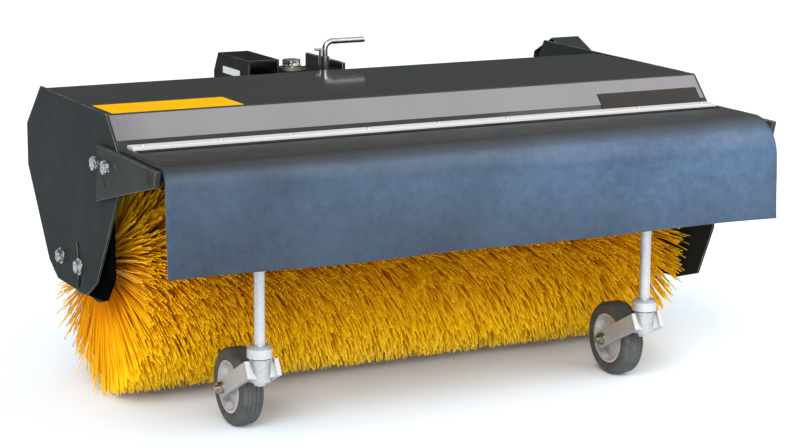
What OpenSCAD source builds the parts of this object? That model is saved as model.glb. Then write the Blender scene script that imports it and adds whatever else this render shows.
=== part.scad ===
// Power brush sweeper: a front attachment for a small tractor, about one metre wide.
// A yellow brush roll turns under a folded hood between two end plates. A rubber flap hangs in
// front, two caster legs carry the front, and a swivelling hitch with a bevel gearbox is behind.
// X runs along the brush, Y to the rear and Z up. Sizes are in millimetres.

/* [Hood and end plates] */
// Distance between the outer faces of the end plates
plate_span = 1040; // [960:10:1400]
// Thickness of the end plates
plate_t = 4; // [3:0.5:6]
// Height of the hood's flat top above the floor
hood_h = 480; // [472:1:500]
// Depth of the hood's flat top
hood_d = 303; // [295:1:320]
// Thickness of the hood's sheet
hood_t = 3; // [2:0.5:4]
// Reach of the hood's sloping front face
slope_d = 47; // [40:1:60]
// Fall of the hood's sloping front face
slope_fall = 50; // [40:1:60]
// Depth of the lip that carries the flap
lip_d = 45; // [40:1:50]
// Depth of the hood's rear slope
hip_d = 71; // [66:1:80]
// Fall of the hood's rear slope
hip_fall = 66; // [60:1:72]
// Height of the hood's upright rear skirt
skirt_h = 68; // [62:1:72]
// How far the end plates stand above the hood
plate_rim = 3; // [1:0.5:6]
// Width of the silver band on the sloping face
band_w = 46; // [30:1:50]
// Thickness of the silver band
band_t = 0.8; // [0.5:0.1:2]

/* [Flap] */
// Thickness of the rubber
flap_t = 6; // [4:0.5:8]
// Reach of the flap's upper face in front of the hood's top edge
flap_reach = 196; // [194:1:215]
// Radius of the bend inside the rubber
flap_bend_r = 36; // [30:1:45]
// Drop of the hanging part below the bend
flap_drop = 117; // [80:1:140]
// Width of the clamp strip
strip_w = 26; // [20:1:30]
// Thickness of the clamp strip
strip_t = 5.5; // [4:0.5:7]
// Number of strip screws
strip_screw_n = 9; // [5:1:13]
// Radius of a strip screw's head
strip_screw_r = 4; // [3:0.5:6]

/* [Support arms and front beam] */
// Thickness of a support arm
arm_t = 8; // [4:0.5:10]
// Reach of an arm in front of the hood's top edge
arm_reach = 221; // [215:1:235]
// Height of an arm at its tip
arm_tip_h = 24; // [20:1:28]
// Depth of the front beam
beam_d = 26; // [20:1:28]
// Height of the front beam
beam_h = 22; // [16:1:24]
// Across-flats size of the arm bolts
arm_bolt_af = 19; // [16:1:22]

/* [Casters] */
// Distance of each leg from the middle
leg_x = 338; // [300:1:400]
// Distance of the legs in front of the hood's top edge
leg_y = 141; // [136:1:144]
// Diameter of a leg
leg_d = 17; // [15:0.5:19]
// Diameter of the swivel housing
swivel_d = 32; // [30:1:36]
// Height of the swivel housing
swivel_h = 37; // [34:1:42]
// Height of the collar on the leg
collar_h = 18; // [14:1:22]
// Trail of the wheel behind its leg
trail = 82; // [78:1:86]
// Diameter of a wheel
wheel_d = 120; // [110:1:124]
// Width of a tyre
tyre_w = 37; // [32:1:40]
// Diameter of the rim under the tyre
rim_d = 82; // [70:1:90]
// Diameter of an axle bolt
axle_d = 10; // [10:1:14]
// Thickness of a fork bar
fork_t = 7; // [5:0.5:8]
// Width of a fork bar
fork_w = 27; // [24:1:30]
// Diameter of a leg clamp's sleeve
clamp_d = 32; // [28:1:36]
// Height of a leg clamp's sleeve
clamp_h = 90; // [84:1:96]
// Travel of a leg up and down from rest
leg_travel = 30; // [20:1:32]

/* [Brush] */
// Diameter over the bristle tips
brush_d = 420; // [410:2:426]
// Distance of the brush axis behind the hood's top front edge
brush_y = 196; // [190:1:200]
// Diameter of the core tube
core_d = 120; // [100:2:130]
// Wall of the core tube
core_wall = 4; // [3:0.5:6]
// Diameter of the brush shaft
brush_shaft_d = 40; // [34:1:44]
// Thickness of the bristle backing
backing_t = 6; // [4:1:8]
// Strands around each roll
strand_rows = 22; // [16:1:22]
// Strands along each roll
strand_cols = 11; // [8:1:11]
// Width of a strand
strand_w = 7; // [5:0.5:8]

/* [Drive] */
// Distance of the cross shaft behind the hood's skirt
drive_back = 91; // [88:1:96]
// Depth of the cross shaft below the hood's top
drive_drop = 100; // [98:1:104]
// Diameter of the cross shaft
cross_shaft_d = 22; // [20:1:28]
// Diameter of the input stub
input_d = 35; // [30:1:36]
// Free length of the input stub
input_l = 60; // [50:1:70]
// Teeth of the brush sprocket
brush_teeth = 20; // [18:1:20]
// Teeth of the drive sprocket
drive_teeth = 10; // [9:1:10]
// Pitch of the drive chain
chain_pitch = 19.05; // [18:0.05:19.05]
// Width of the chain case
case_w = 57; // [54:1:70]
// Thickness of the chain case's sheet
case_t = 2; // [1.5:0.5:4]
// Side of the gearbox housing
gearbox_w = 110; // [106:1:116]
// Height of the gearbox housing
gearbox_h = 100; // [96:1:100]
// Wall of the gearbox housing
gearbox_wall = 8; // [6:0.5:9]
// Teeth of each bevel gear
bevel_teeth = 16; // [16:4:20]
// Pitch radius of each bevel gear
bevel_r = 30; // [28:1:32]

/* [Hitch] */
// Sideways place of the king bolt
hitch_x = -28; // [-60:1:20]
// Distance of the king bolt behind the hood's skirt
king_back = 51; // [49:1:56]
// Diameter of the king bolt
king_d = 20; // [16:1:22]
// Radius of the turntable base
base_r = 75; // [70:1:78]
// Thickness of the turntable base
base_t = 6; // [5:0.5:9]
// Thickness of the swivel plate
swivel_t = 12; // [10:0.5:13]
// Width of the swivel plate
swivel_w = 120; // [112:1:130]
// Width of the channel beside the swivel plate
channel_w = 57; // [50:1:62]
// Height of the channel
channel_h = 34; // [30:1:36]
// Wall of the channel
channel_wall = 3; // [2.5:0.5:5]
// Thickness of the cheek plate
cheek_t = 6; // [4:0.5:8]
// Height of the cheek plate
cheek_h = 22; // [20:1:26]
// Depth of the swivel plate behind the king bolt
swivel_back = 40; // [36:1:50]
// Thickness of the rear flange
flange_t = 10; // [8:0.5:15]
// Height of the rear flange
flange_h = 23; // [20:1:24]
// Depth of the swivel head behind the king bolt
head_d = 130; // [128:1:140]
// Sideways spacing of the flange holes
flange_hole_dx = 162; // [150:1:166]
// Diameter of the flange holes
flange_hole_d = 13; // [11:0.5:14]
// Diameter of the clamp lever's rod
lever_d = 10; // [8:0.5:12]
// Length of the clamp lever's arm
lever_l = 75; // [60:1:90]
// Height of the clamp lever above the swivel plate
lever_h = 48; // [46:1:60]

/* [Hidden] */
$fn = 64;
// Clearance of a shaft or pin in its bore
run_gap = 0.05;
// Clearance between flat faces that move past each other
face_gap = 0.3;
// Side clearance of a wheel in its fork
wheel_side = 2;

// Half the span, and the inner face of an end plate
half = plate_span / 2;
inner = half - plate_t;
// Brush axis height and the drive axis height
brush_z = brush_d / 2;
drive_z = hood_h - drive_drop;
// The lip's upper face
lip_z = hood_h - slope_fall;
// Rear face of the hood's skirt and its lower edge
skirt_y = hood_d + hip_d;
skirt_z = hood_h - hip_fall - skirt_h;
// Places of the cross shaft and the king bolt
drive_y = skirt_y + drive_back;
king_y = skirt_y + king_back;
// Front beam, just behind the flap's bend
beam_y1 = -flap_reach;
beam_y2 = beam_y1 + beam_d;
// Rear beam, on the hood's skirt
rear_beam_d = 30;
rear_beam_h = 50;
rear_beam_wall = 2.5;
rear_beam_z = skirt_z;
rear_beam_y2 = skirt_y + rear_beam_d;
rear_beam_x = 36;
// Gearbox
gearbox_y1 = rear_beam_y2;
gearbox_y2 = drive_y + gearbox_w / 2;
gearbox_x1 = hitch_x - gearbox_w / 2;
gearbox_x2 = hitch_x + gearbox_w / 2;
gearbox_z1 = drive_z - gearbox_h / 2;
gearbox_z2 = drive_z + gearbox_h / 2;
gear_apex_gap = 14;
input_step = 2.5;
input_seat_r = input_d / 2 + input_step;
input_shoulder = 2;
// Brush lengths
bearing_base_t = 8;
bearing_boss_l = 14;
bearing_boss_r = 32;
bearing_base_r = 44;
cross_base_r = 34;
cross_boss_r = 24;
bracket_gap = 8;
bracket_t = 8;
bracket_x = -inner + bracket_gap + bracket_t;
brush_gap_left = 6;
brush_gap_right = 10;
brush_left = bracket_x + bearing_base_t + bearing_boss_l + brush_gap_left;
brush_right = inner - bearing_base_t - bearing_boss_l - brush_gap_right;
backing_inset = 8;
roll_left = brush_left + backing_inset;
roll_right = brush_right - backing_inset;
roll_mid = (roll_left + roll_right) / 2;
roll_split = 1;
disc_t = 8;
// Chain and sprockets
chain_roller_r = 5;
chain_plate_h = 6;
chain_plate_t = 2;
chain_inner_w = 10;
sprocket_t = 8;
brush_pitch_r = chain_pitch / sin(180 / brush_teeth) / 2;
drive_pitch_r = chain_pitch / sin(180 / drive_teeth) / 2;
chain_x = half + case_w / 2;
sprocket_hub_l = 20;
stub_end = 12;
// Casters
axle_z = wheel_d / 2;
swivel_rise = 27;
swivel_z = axle_z + swivel_rise;
collar_z = swivel_z + swivel_h + face_gap;
collar_step = 3.5;
collar_r = swivel_d / 2 + collar_step;
collar_bevel = 4;
pin_d = 10;
seal_h = 2;
seal_step = 3;
leg_nut_h = 6;
leg_nut_r = 0.8 * pin_d;
clamp_top_gap = 5;
leg_top = lip_z - leg_travel - clamp_top_gap;
leg_bottom = swivel_z - leg_nut_h - face_gap;
clamp_z = lip_z - clamp_top_gap - clamp_h;
clamp_web_t = 16;
clamp_screw_d = 10;
clamp_screw_rise = 15;
clamp_screw_z = clamp_z + clamp_screw_rise;
clamp_screw_l = 32;
clamp_bar_l = 40;
clamp_bar_r = 3.5;
clamp_bar_inset = 5;
leg_hole_r = 3;
leg_hole_drops = [15, 43];
fork_in = tyre_w / 2 + wheel_side;
yoke_d = 14;
axle_head_h = 8;
axle_washer_t = 2;
axle_end = 4;
fork_rise = 16;
fork_lead = 14;
fork_tail = 13;
// Hitch heights
swivel_sink = 26;
swivel_z1 = hood_h - swivel_sink;
swivel_z2 = swivel_z1 + swivel_t;
base_z = swivel_z1 - face_gap - base_t;
swivel_front = 30;
channel_front = 25;
head_y = king_y + head_d;
channel_lift = 1;
channel_z = swivel_z1 + channel_lift;
head_left = 34;
head_x1 = hitch_x - head_left;
head_x2 = head_x1 + swivel_w;
flange_over = 6;
flange_drop = 36;
flange_z = swivel_z1 - flange_drop;
// The side plates step down behind the gearbox, to meet the flange
step_top = 80;
step_foot = 25;
channel_slant = 20;
lever_right = 57;
lever_front = 15;
lever_x = hitch_x + lever_right;
lever_y = king_y - lever_front;
lever_bend_r = 14;
sleeve_r = 8;
sleeve_h = 22;
keeper_d = 5;
keeper_front = 3;
keeper_hook = 10;
king_head_h = 12.5;
king_nut_h = 13;
king_washer_h = 6;
king_washer_r = 26;
king_washer_step = 3;
post_w = 80;
post_wall = 5;
post_front = 2;
// Bolt sizes
bolt_head_h = 8;
case_head_h = 6;
bracket_bolt_r = 6;
bracket_washer_t = 2;
arm_shank_r = 6;
arm_nut_h = 8;
case_screw_r = 5;
cover_head_h = 4;
shaft_room = 1;
// Spare length of a cut past the face that it opens
over = 1;
// Origin: middle of the part's own box, on the floor
x_low = -(half + arm_t + bolt_head_h);
x_high = half + case_w + case_head_h;
flap_lean = 4;
y_low = -(flap_reach + flap_bend_r + flap_t + flap_lean);
y_high = max(gearbox_y2 + input_shoulder + input_l, head_y + flange_t);
origin_shift = [-(x_low + x_high) / 2, -(y_low + y_high) / 2, 0];

charcoal = "#3a4040";
black = "#1c1e1e";
zinc = "#b9bcbe";
rubber = "#4a5a72";
yellow = "#f0b000";

// Helpers

function unit(v) = v / norm(v);
function normal(a, b) = let (d = unit(b - a)) [-d[1], d[0]];
function mitre(n1, n2) = (n1 + n2) / (1 + n1 * n2);
// A sheet of thickness t on the left of a bent line
function sheet(p, t) =
    let (last = len(p) - 1,
        n = [for (i = [0:last - 1]) normal(p[i], p[i + 1])],
        off = [for (i = [0:last])
            p[i] + t * (i == 0 ? n[0] : i == last ? n[last - 1] : mitre(n[i - 1], n[i]))])
    concat(p, [for (i = [last:-1:0]) off[i]]);
// An anticlockwise outline drawn in by d
function inset(p, d) =
    let (c = len(p))
    [for (i = [0:c - 1])
        let (a = p[(i + c - 1) % c], b = p[i], e = p[(i + 1) % c])
        b + d * mitre(normal(a, b), normal(b, e))];
function arc(c, r, a1, a2, n) =
    [for (i = [0:n]) let (a = a1 + (a2 - a1) * i / n) c + r * [cos(a), sin(a)]];
// Outline of a slot of half width w that follows a circle of radius r about c, from a1 to a2
function arc_slot(c, r, w, a1, a2) =
    concat(
        arc(c, r + w, a1, a2, 12), arc(c + r * [cos(a2), sin(a2)], w, a2 + 20, a2 + 160, 7),
        arc(c, r - w, a2, a1, 12), arc(c + r * [cos(a1), sin(a1)], w, a1 + 200, a1 + 340, 7));
// A number from 0 to 1 that looks random
function scatter(i) = let (s = sin(i * 127.1 + 31.7) * 4375.85) s - floor(s);

module place() {
    translate(origin_shift) children();
}
// Draws a Y and Z outline out along X
module along_x(x1, x2) {
    translate([x1, 0, 0]) rotate([90, 0, 90]) linear_extrude(x2 - x1) children();
}
module rod_x(r, x1, x2, y, z) {
    translate([x1, y, z]) rotate([0, 90, 0]) cylinder(r = r, h = x2 - x1);
}
module rod_y(r, y1, y2, x, z) {
    translate([x, y1, z]) rotate([-90, 0, 0]) cylinder(r = r, h = y2 - y1);
}
module hex_x(af, x1, x2, y, z) {
    translate([x1, y, z]) rotate([0, 90, 0]) cylinder(d = af / cos(30), h = x2 - x1, $fn = 6);
}
module box(low, high) {
    translate(low) cube(high - low);
}
module ring(r_out, r_in, h) {
    difference() {
        cylinder(r = r_out, h = h);
        translate([0, 0, -over]) cylinder(r = r_in, h = h + 2 * over);
    }
}
// A box tube that runs along X
module tube_x(x1, x2, y1, y2, z1, z2, wall) {
    difference() {
        box([x1, y1, z1], [x2, y2, z2]);
        box([x1 - over, y1 + wall, z1 + wall], [x2 + over, y2 - wall, z2 - wall]);
    }
}
// The closed band round two wheels, as a flat shape
module belt(c1, r1, c2, r2) {
    d = norm(c2 - c1);
    lean = atan2(c2[1] - c1[1], c2[0] - c1[0]);
    wrap = acos((r1 - r2) / d);
    translate(c1) circle(r1);
    translate(c2) circle(r2);
    polygon([for (s = [[c1, r1, -1], [c2, r2, -1], [c2, r2, 1], [c1, r1, 1]])
        s[0] + s[1] * [cos(lean + s[2] * wrap), sin(lean + s[2] * wrap)]]);
}

// Hood and end plates

left_outline = [
    [0, hood_h], [-slope_d, lip_z], [-slope_d + 2, lip_z - 65],
    [brush_y - 139, brush_z + 3], [brush_y - 110, brush_z - 15], [brush_y - 90, brush_z - 26],
    [brush_y + 44, brush_z - 26], [brush_y + 84, brush_z - 3],
    [skirt_y + plate_rim, skirt_z], [skirt_y + plate_rim, hood_h - hip_fall],
    [hood_d + 1, hood_h + plate_rim]];
right_outline = [
    [0, hood_h], [-slope_d, lip_z],
    [brush_y - 267, brush_z + 21], [brush_y - 226, brush_z - 66], [brush_y - 160, brush_z - 86],
    [brush_y + 110, brush_z - 86], [drive_y + 86, drive_z - 50],
    [drive_y + 86, drive_z], [drive_y + 24, hood_h + plate_rim]];
// Places of the bracket's pivot bolt and slot bolt, seen from the brush axis
pivot_at = [22, 15];
slot_at = [-63, 14];
slot_half = 22;
slot_gap = 0.5;
bracket_points = [
    [-172, 150], [-172, 14], [-137, -26], [-75, -32], [60, -32], [82, 0], [70, 60], [-100, 160]];
arm_bolts_at = [[23, -76], [-23, -75]];
arm_hole_at = [-61, -69];

module end_plate_left() {
    pivot = [brush_y, brush_z] + pivot_at;
    slot_r = norm(slot_at - pivot_at);
    color(charcoal) along_x(-half, -inner) difference() {
        polygon(left_outline);
        translate(pivot) circle(bracket_bolt_r + run_gap);
        // The slot in which the bracket's second bolt is set
        polygon(arc_slot(pivot, slot_r, bracket_bolt_r + slot_gap, 180 - slot_half, 180 + slot_half));
        for (p = arm_bolts_at)
            translate([p[0], hood_h + p[1]]) circle(arm_shank_r + run_gap);
    }
}
module end_plate_right() {
    color(charcoal) along_x(inner, half) difference() {
        polygon(right_outline);
        translate([brush_y, brush_z]) circle(brush_shaft_d / 2 + shaft_room);
        translate([drive_y, drive_z]) circle(cross_shaft_d / 2 + shaft_room);
        for (p = arm_bolts_at)
            translate([p[0], hood_h + p[1]]) circle(arm_shank_r + run_gap);
        for (p = case_screws_at)
            translate(p) circle(case_screw_r + run_gap);
    }
}
hood_line = [
    [-slope_d - lip_d, lip_z], [-slope_d, lip_z], [0, hood_h], [hood_d, hood_h],
    [skirt_y, hood_h - hip_fall], [skirt_y, skirt_z]];
module hood() {
    color(charcoal) along_x(-inner, inner) polygon(sheet(hood_line, -hood_t));
}
band_top = 3;
module front_band() {
    fall = unit([-slope_d, -slope_fall]);
    top = band_top * fall + [0, hood_h];
    color("silver") along_x(-inner, inner)
        polygon(sheet([top, top + band_w * fall], -band_t));
}

// Flap and clamp strip

strip_back = 2;
strip_end_gap = 8;
flap_end_gap = 1;
strip_y = -slope_d - lip_d / 2 + strip_back;
strip_half = inner - strip_end_gap;
flap_half = half - flap_end_gap;
flap_z = lip_z + flap_t;
bend_c = [-flap_reach, lip_z - flap_bend_r];
hang_y = -flap_reach - flap_bend_r;
flap_line = concat(
    [[strip_y + strip_w / 2 + strip_back, lip_z]],
    arc(bend_c, flap_bend_r, 90, 180, 8),
    [[hang_y - flap_lean, lip_z - flap_bend_r - flap_drop]]);

module rubber_flap() {
    color(rubber) along_x(-flap_half, flap_half) polygon(sheet(flap_line, -flap_t));
}
module clamp_strip() {
    color("gainsboro")
        box([-strip_half, strip_y - strip_w / 2, flap_z],
            [strip_half, strip_y + strip_w / 2, flap_z + strip_t]);
}
strip_screw_end = 20;
strip_screw_h = 2;
module strip_screws() {
    step = 2 * (strip_half - strip_screw_end) / (strip_screw_n - 1);
    color(zinc) for (i = [0:strip_screw_n - 1])
        translate([-strip_half + strip_screw_end + i * step, strip_y, flap_z + strip_t])
            cylinder(r1 = strip_screw_r, r2 = strip_screw_r - strip_screw_h / 2, h = strip_screw_h);
}

// Support arms and front beam

arm_hole_r = 4;
arm_outline = [
    [20, hood_h - 48], [-arm_reach, lip_z], [-arm_reach + 7, lip_z - arm_tip_h],
    [-56, lip_z - 63], [28, lip_z - 84]];
module support_arm(x1, x2) {
    color(charcoal) along_x(x1, x2) difference() {
        polygon(arm_outline);
        for (p = arm_bolts_at)
            translate([p[0], hood_h + p[1]]) circle(arm_shank_r + run_gap);
        translate([arm_hole_at[0], hood_h + arm_hole_at[1]]) circle(arm_hole_r);
    }
}
module support_arm_left() {
    support_arm(-half - arm_t, -half);
}
module support_arm_right() {
    support_arm(half, half + arm_t);
}
module arm_bolts() {
    color(zinc) for (side = [0, 1], p = arm_bolts_at)
        mirror([side, 0, 0]) {
            hex_x(arm_bolt_af, half + arm_t, half + arm_t + bolt_head_h, p[0], hood_h + p[1]);
            rod_x(arm_shank_r, inner - arm_nut_h, half + arm_t, p[0], hood_h + p[1]);
            hex_x(arm_bolt_af, inner - arm_nut_h, inner, p[0], hood_h + p[1]);
        }
}
// A solid bar, whose weight keeps the machine's front on its casters
module front_beam() {
    color(charcoal) box([-half, beam_y1, lip_z - beam_h], [half, beam_y2, lip_z]);
}

// Caster legs

module leg_clamp(side) {
    color(charcoal) translate([side * leg_x, -leg_y, 0]) difference() {
        union() {
            translate([0, 0, clamp_z]) cylinder(d = clamp_d, h = clamp_h);
            box([-clamp_web_t / 2, beam_y2 + leg_y, lip_z - beam_h],
                [clamp_web_t / 2, 0, lip_z - clamp_top_gap]);
        }
        translate([0, 0, clamp_z - over]) cylinder(r = leg_d / 2 + run_gap, h = clamp_h + 2 * over);
        rod_x(clamp_screw_d / 2 + run_gap, side > 0 ? 0 : -clamp_d, side > 0 ? clamp_d : 0,
            0, clamp_screw_z);
    }
}
module leg_clamp_left() {
    leg_clamp(-1);
}
module leg_clamp_right() {
    leg_clamp(1);
}
module clamp_screws() {
    color(zinc) for (side = [-1, 1]) {
        start = leg_d / 2 + face_gap;
        x1 = side * leg_x + (side > 0 ? start : -start - clamp_screw_l);
        x2 = x1 + clamp_screw_l;
        bar_x = side > 0 ? x2 - clamp_bar_inset : x1 + clamp_bar_inset;
        rod_x(clamp_screw_d / 2, x1, x2, -leg_y, clamp_screw_z);
        translate([bar_x, -leg_y, clamp_screw_z - clamp_bar_l / 2])
            cylinder(r = clamp_bar_r, h = clamp_bar_l);
    }
}
module caster_leg(side) {
    color(zinc) translate([side * leg_x, -leg_y, 0]) difference() {
        union() {
            // The pin in the swivel housing, then the leg and its collar above
            translate([0, 0, leg_bottom]) cylinder(d = pin_d, h = collar_z + collar_h - leg_bottom);
            translate([0, 0, collar_z]) {
                cylinder(d = leg_d, h = leg_top - collar_z);
                cylinder(r = collar_r, h = collar_h - collar_bevel);
            }
            translate([0, 0, collar_z + collar_h - collar_bevel])
                cylinder(r1 = collar_r, r2 = collar_r - collar_bevel, h = collar_bevel);
        }
        for (drop = leg_hole_drops)
            rod_x(leg_hole_r, -leg_d, leg_d, 0, clamp_z - leg_travel - drop);
    }
}
module caster_leg_left() {
    caster_leg(-1);
}
module caster_leg_right() {
    caster_leg(1);
}
module swivel_nut(side) {
    color(zinc) translate([side * leg_x, -leg_y, leg_bottom]) difference() {
        cylinder(r = leg_nut_r / cos(30), h = leg_nut_h, $fn = 6);
        translate([0, 0, -over]) cylinder(r = pin_d / 2 + run_gap, h = leg_nut_h + 2 * over);
    }
}
module swivel_nut_left() {
    swivel_nut(-1);
}
module swivel_nut_right() {
    swivel_nut(1);
}
// A fork bar lies along the line from the leg down to the axle
fork_z = swivel_z + fork_rise;
fork_lean = atan((fork_z - axle_z) / trail);
fork_reach = norm([trail, fork_z - axle_z]);
// Side view of a bar from u1 to u2 along that line
module fork_bar(u1, u2) {
    translate([0, fork_z]) rotate(-fork_lean) translate([u1, -fork_w / 2]) square([u2 - u1, fork_w]);
}
module caster_fork(side) {
    color(zinc) translate([side * leg_x, -leg_y, 0]) difference() {
        union() {
            // The housing ends in a narrow seal under the collar
            translate([0, 0, swivel_z]) {
                cylinder(d = swivel_d, h = swivel_h - seal_h);
                cylinder(d = swivel_d - 2 * seal_step, h = swivel_h);
            }
            along_x(-fork_in, fork_in) fork_bar(-yoke_d / 2, yoke_d / 2);
            for (x = [-fork_in - fork_t, fork_in])
                along_x(x, x + fork_t) fork_bar(-fork_lead, fork_reach + fork_tail);
        }
        translate([0, 0, swivel_z - over]) cylinder(r = pin_d / 2 + run_gap, h = swivel_h + 2 * over);
        rod_x(axle_d / 2 + run_gap, -fork_in - fork_t - over, fork_in + fork_t + over, trail, axle_z);
    }
}
module caster_fork_left() {
    caster_fork(-1);
}
module caster_fork_right() {
    caster_fork(1);
}
module axle_bolt(side) {
    reach = fork_in + fork_t;
    axle_af = 1.6 * axle_d;
    color("#9c8a60") translate([side * leg_x, trail - leg_y, axle_z]) {
        rod_x(axle_d / 2, -reach - axle_head_h - axle_end, reach + axle_head_h / 2, 0, 0);
        for (x = [-reach - axle_washer_t, reach])
            rod_x(axle_d, x, x + axle_washer_t, 0, 0);
        // The nut is on the left and the head on the right
        hex_x(axle_af, -reach - axle_head_h, -reach - axle_washer_t / 2, 0, 0);
        hex_x(axle_af, reach + axle_washer_t / 2, reach + axle_head_h, 0, 0);
    }
}
module axle_bolt_left() {
    axle_bolt(-1);
}
module axle_bolt_right() {
    axle_bolt(1);
}
// Half section of the rim: hub, dished web and the seat under the tyre
rim_hub_r = 13;
rim_web = 8;
rim_web_edge = 6;
rim_lip = 4;
rim_inset = 1;
rim_half = [
    [rim_d / 2, tyre_w / 2 - rim_inset], [rim_d / 2 - rim_lip, tyre_w / 2 - rim_inset],
    [rim_d / 2 - rim_web, rim_web_edge], [rim_hub_r, rim_web], [rim_hub_r, tyre_w / 2],
    [axle_d / 2 + run_gap, tyre_w / 2]];
rim_outline = concat([for (i = [len(rim_half) - 1:-1:0]) [rim_half[i][0], -rim_half[i][1]]], rim_half);
module wheel_rim(side) {
    color("gainsboro") translate([side * leg_x, trail - leg_y, axle_z])
        rotate([0, 90, 0]) rotate_extrude() polygon(rim_outline);
}
module wheel_rim_left() {
    wheel_rim(-1);
}
module wheel_rim_right() {
    wheel_rim(1);
}
tyre_round = 7;
tyre_chamfer = 1;
tyre_outline = concat(
    [[rim_d / 2 + run_gap, tyre_w / 2 - tyre_chamfer], [rim_d / 2 + run_gap, tyre_chamfer - tyre_w / 2]],
    arc([wheel_d / 2 - tyre_round, tyre_round - tyre_w / 2], tyre_round, -90, 0, 6),
    arc([wheel_d / 2 - tyre_round, tyre_w / 2 - tyre_round], tyre_round, 0, 90, 6));
module tyre(side) {
    color("dimgray") translate([side * leg_x, trail - leg_y, axle_z])
        rotate([0, 90, 0]) rotate_extrude() polygon(tyre_outline);
}
module tyre_left() {
    tyre(-1);
}
module tyre_right() {
    tyre(1);
}

// Brush and its bearings

module bearing_bracket() {
    color(black) translate([0, brush_y, brush_z]) along_x(bracket_x - bracket_t, bracket_x)
        difference() {
            polygon(bracket_points);
            circle(brush_shaft_d / 2 + shaft_room);
            for (p = [pivot_at, slot_at])
                translate(p) circle(bracket_bolt_r + run_gap);
        }
}
module bracket_bolts() {
    color(zinc) for (p = [pivot_at, slot_at]) translate([0, brush_y + p[0], brush_z + p[1]]) {
        hex_x(3 * bracket_bolt_r, -half - bolt_head_h, -half - bracket_washer_t, 0, 0);
        rod_x(2.2 * bracket_bolt_r, -half - bracket_washer_t, -half, 0, 0);
        rod_x(bracket_bolt_r, -half, bracket_x, 0, 0);
        // The spacer between the end plate and the bracket
        rod_x(1.6 * bracket_bolt_r, -inner, bracket_x - bracket_t, 0, 0);
    }
}
module flange_bearing(r_bore, r_base, r_boss) {
    difference() {
        union() {
            cylinder(r = r_base, h = bearing_base_t);
            cylinder(r = r_boss, h = bearing_base_t + bearing_boss_l);
        }
        translate([0, 0, -over])
            cylinder(r = r_bore + run_gap, h = bearing_base_t + bearing_boss_l + 2 * over);
    }
}
module brush_bearing_left() {
    color(charcoal) translate([bracket_x, brush_y, brush_z]) rotate([0, 90, 0])
        flange_bearing(brush_shaft_d / 2, bearing_base_r, bearing_boss_r);
}
module brush_bearing_right() {
    color(charcoal) translate([inner, brush_y, brush_z]) rotate([0, -90, 0])
        flange_bearing(brush_shaft_d / 2, bearing_base_r, bearing_boss_r);
}
shaft_inset = 2;
module brush_shaft() {
    color(zinc) rod_x(brush_shaft_d / 2, bracket_x - bracket_t + shaft_inset, chain_x + stub_end,
        brush_y, brush_z);
}
module brush_core() {
    color(black) difference() {
        rod_x(core_d / 2, brush_left, brush_right, brush_y, brush_z);
        rod_x(core_d / 2 - core_wall, brush_left + disc_t, brush_right - disc_t, brush_y, brush_z);
        rod_x(brush_shaft_d / 2 + run_gap, brush_left - over, brush_right + over, brush_y, brush_z);
    }
}

// A roll of bristles, one closed skin. The backing is a prism round the core, and each of its
// cells carries one strand with three sides. Rows lie along X, and the strand's tip leans a little.
backing_in = (core_d / 2 + 2 * run_gap) / cos(180 / strand_rows);
backing_out = backing_in + backing_t;
tip_share = 0.75;
end_lean = 8;
tip_turn = 0.4;
tip_short = 14;
tip_stray = 16;
function around(r, a) = [r * sin(a), -r * cos(a)];
function on_roll(x, r, a) = let (p = around(r, a)) [x, p[0], p[1]];
// Point of a cell's flat face: dx along the roll, v across the row from -1 to 1
function cell_point(x, dx, row, v) =
    let (half_step = 180 / strand_rows,
        a = around(backing_out, (row - 0.5) * 2 * half_step),
        b = around(backing_out, (row + 0.5) * 2 * half_step),
        p = a + (b - a) * (v + 1) / 2)
    [x + dx, p[0], p[1]];
// Strand base on the cell and its tip, as three points each
function strand_base(x, row) =
    let (h = strand_w / 2, across = backing_out * sin(180 / strand_rows))
    [cell_point(x, -h, row, -h / across), cell_point(x, h, row, -h / across),
        cell_point(x, 0, row, h / across)];
function strand_tip(x, row, seed, lean) =
    let (step = 360 / strand_rows,
        a = row * step + (scatter(seed) - 0.5) * step * tip_turn,
        r = brush_d / 2 - (row % 3 == 0 ? 0 : tip_short * scatter(seed + 7)),
        w = strand_w / 2 * tip_share,
        da = asin(w / r),
        tx = x + lean + (scatter(seed + 3) - 0.5) * tip_stray,
        rt = r * cos(da))
    [on_roll(tx - w, rt, a - da), on_roll(tx + w, rt, a - da), on_roll(tx, rt, a + da)];

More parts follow.
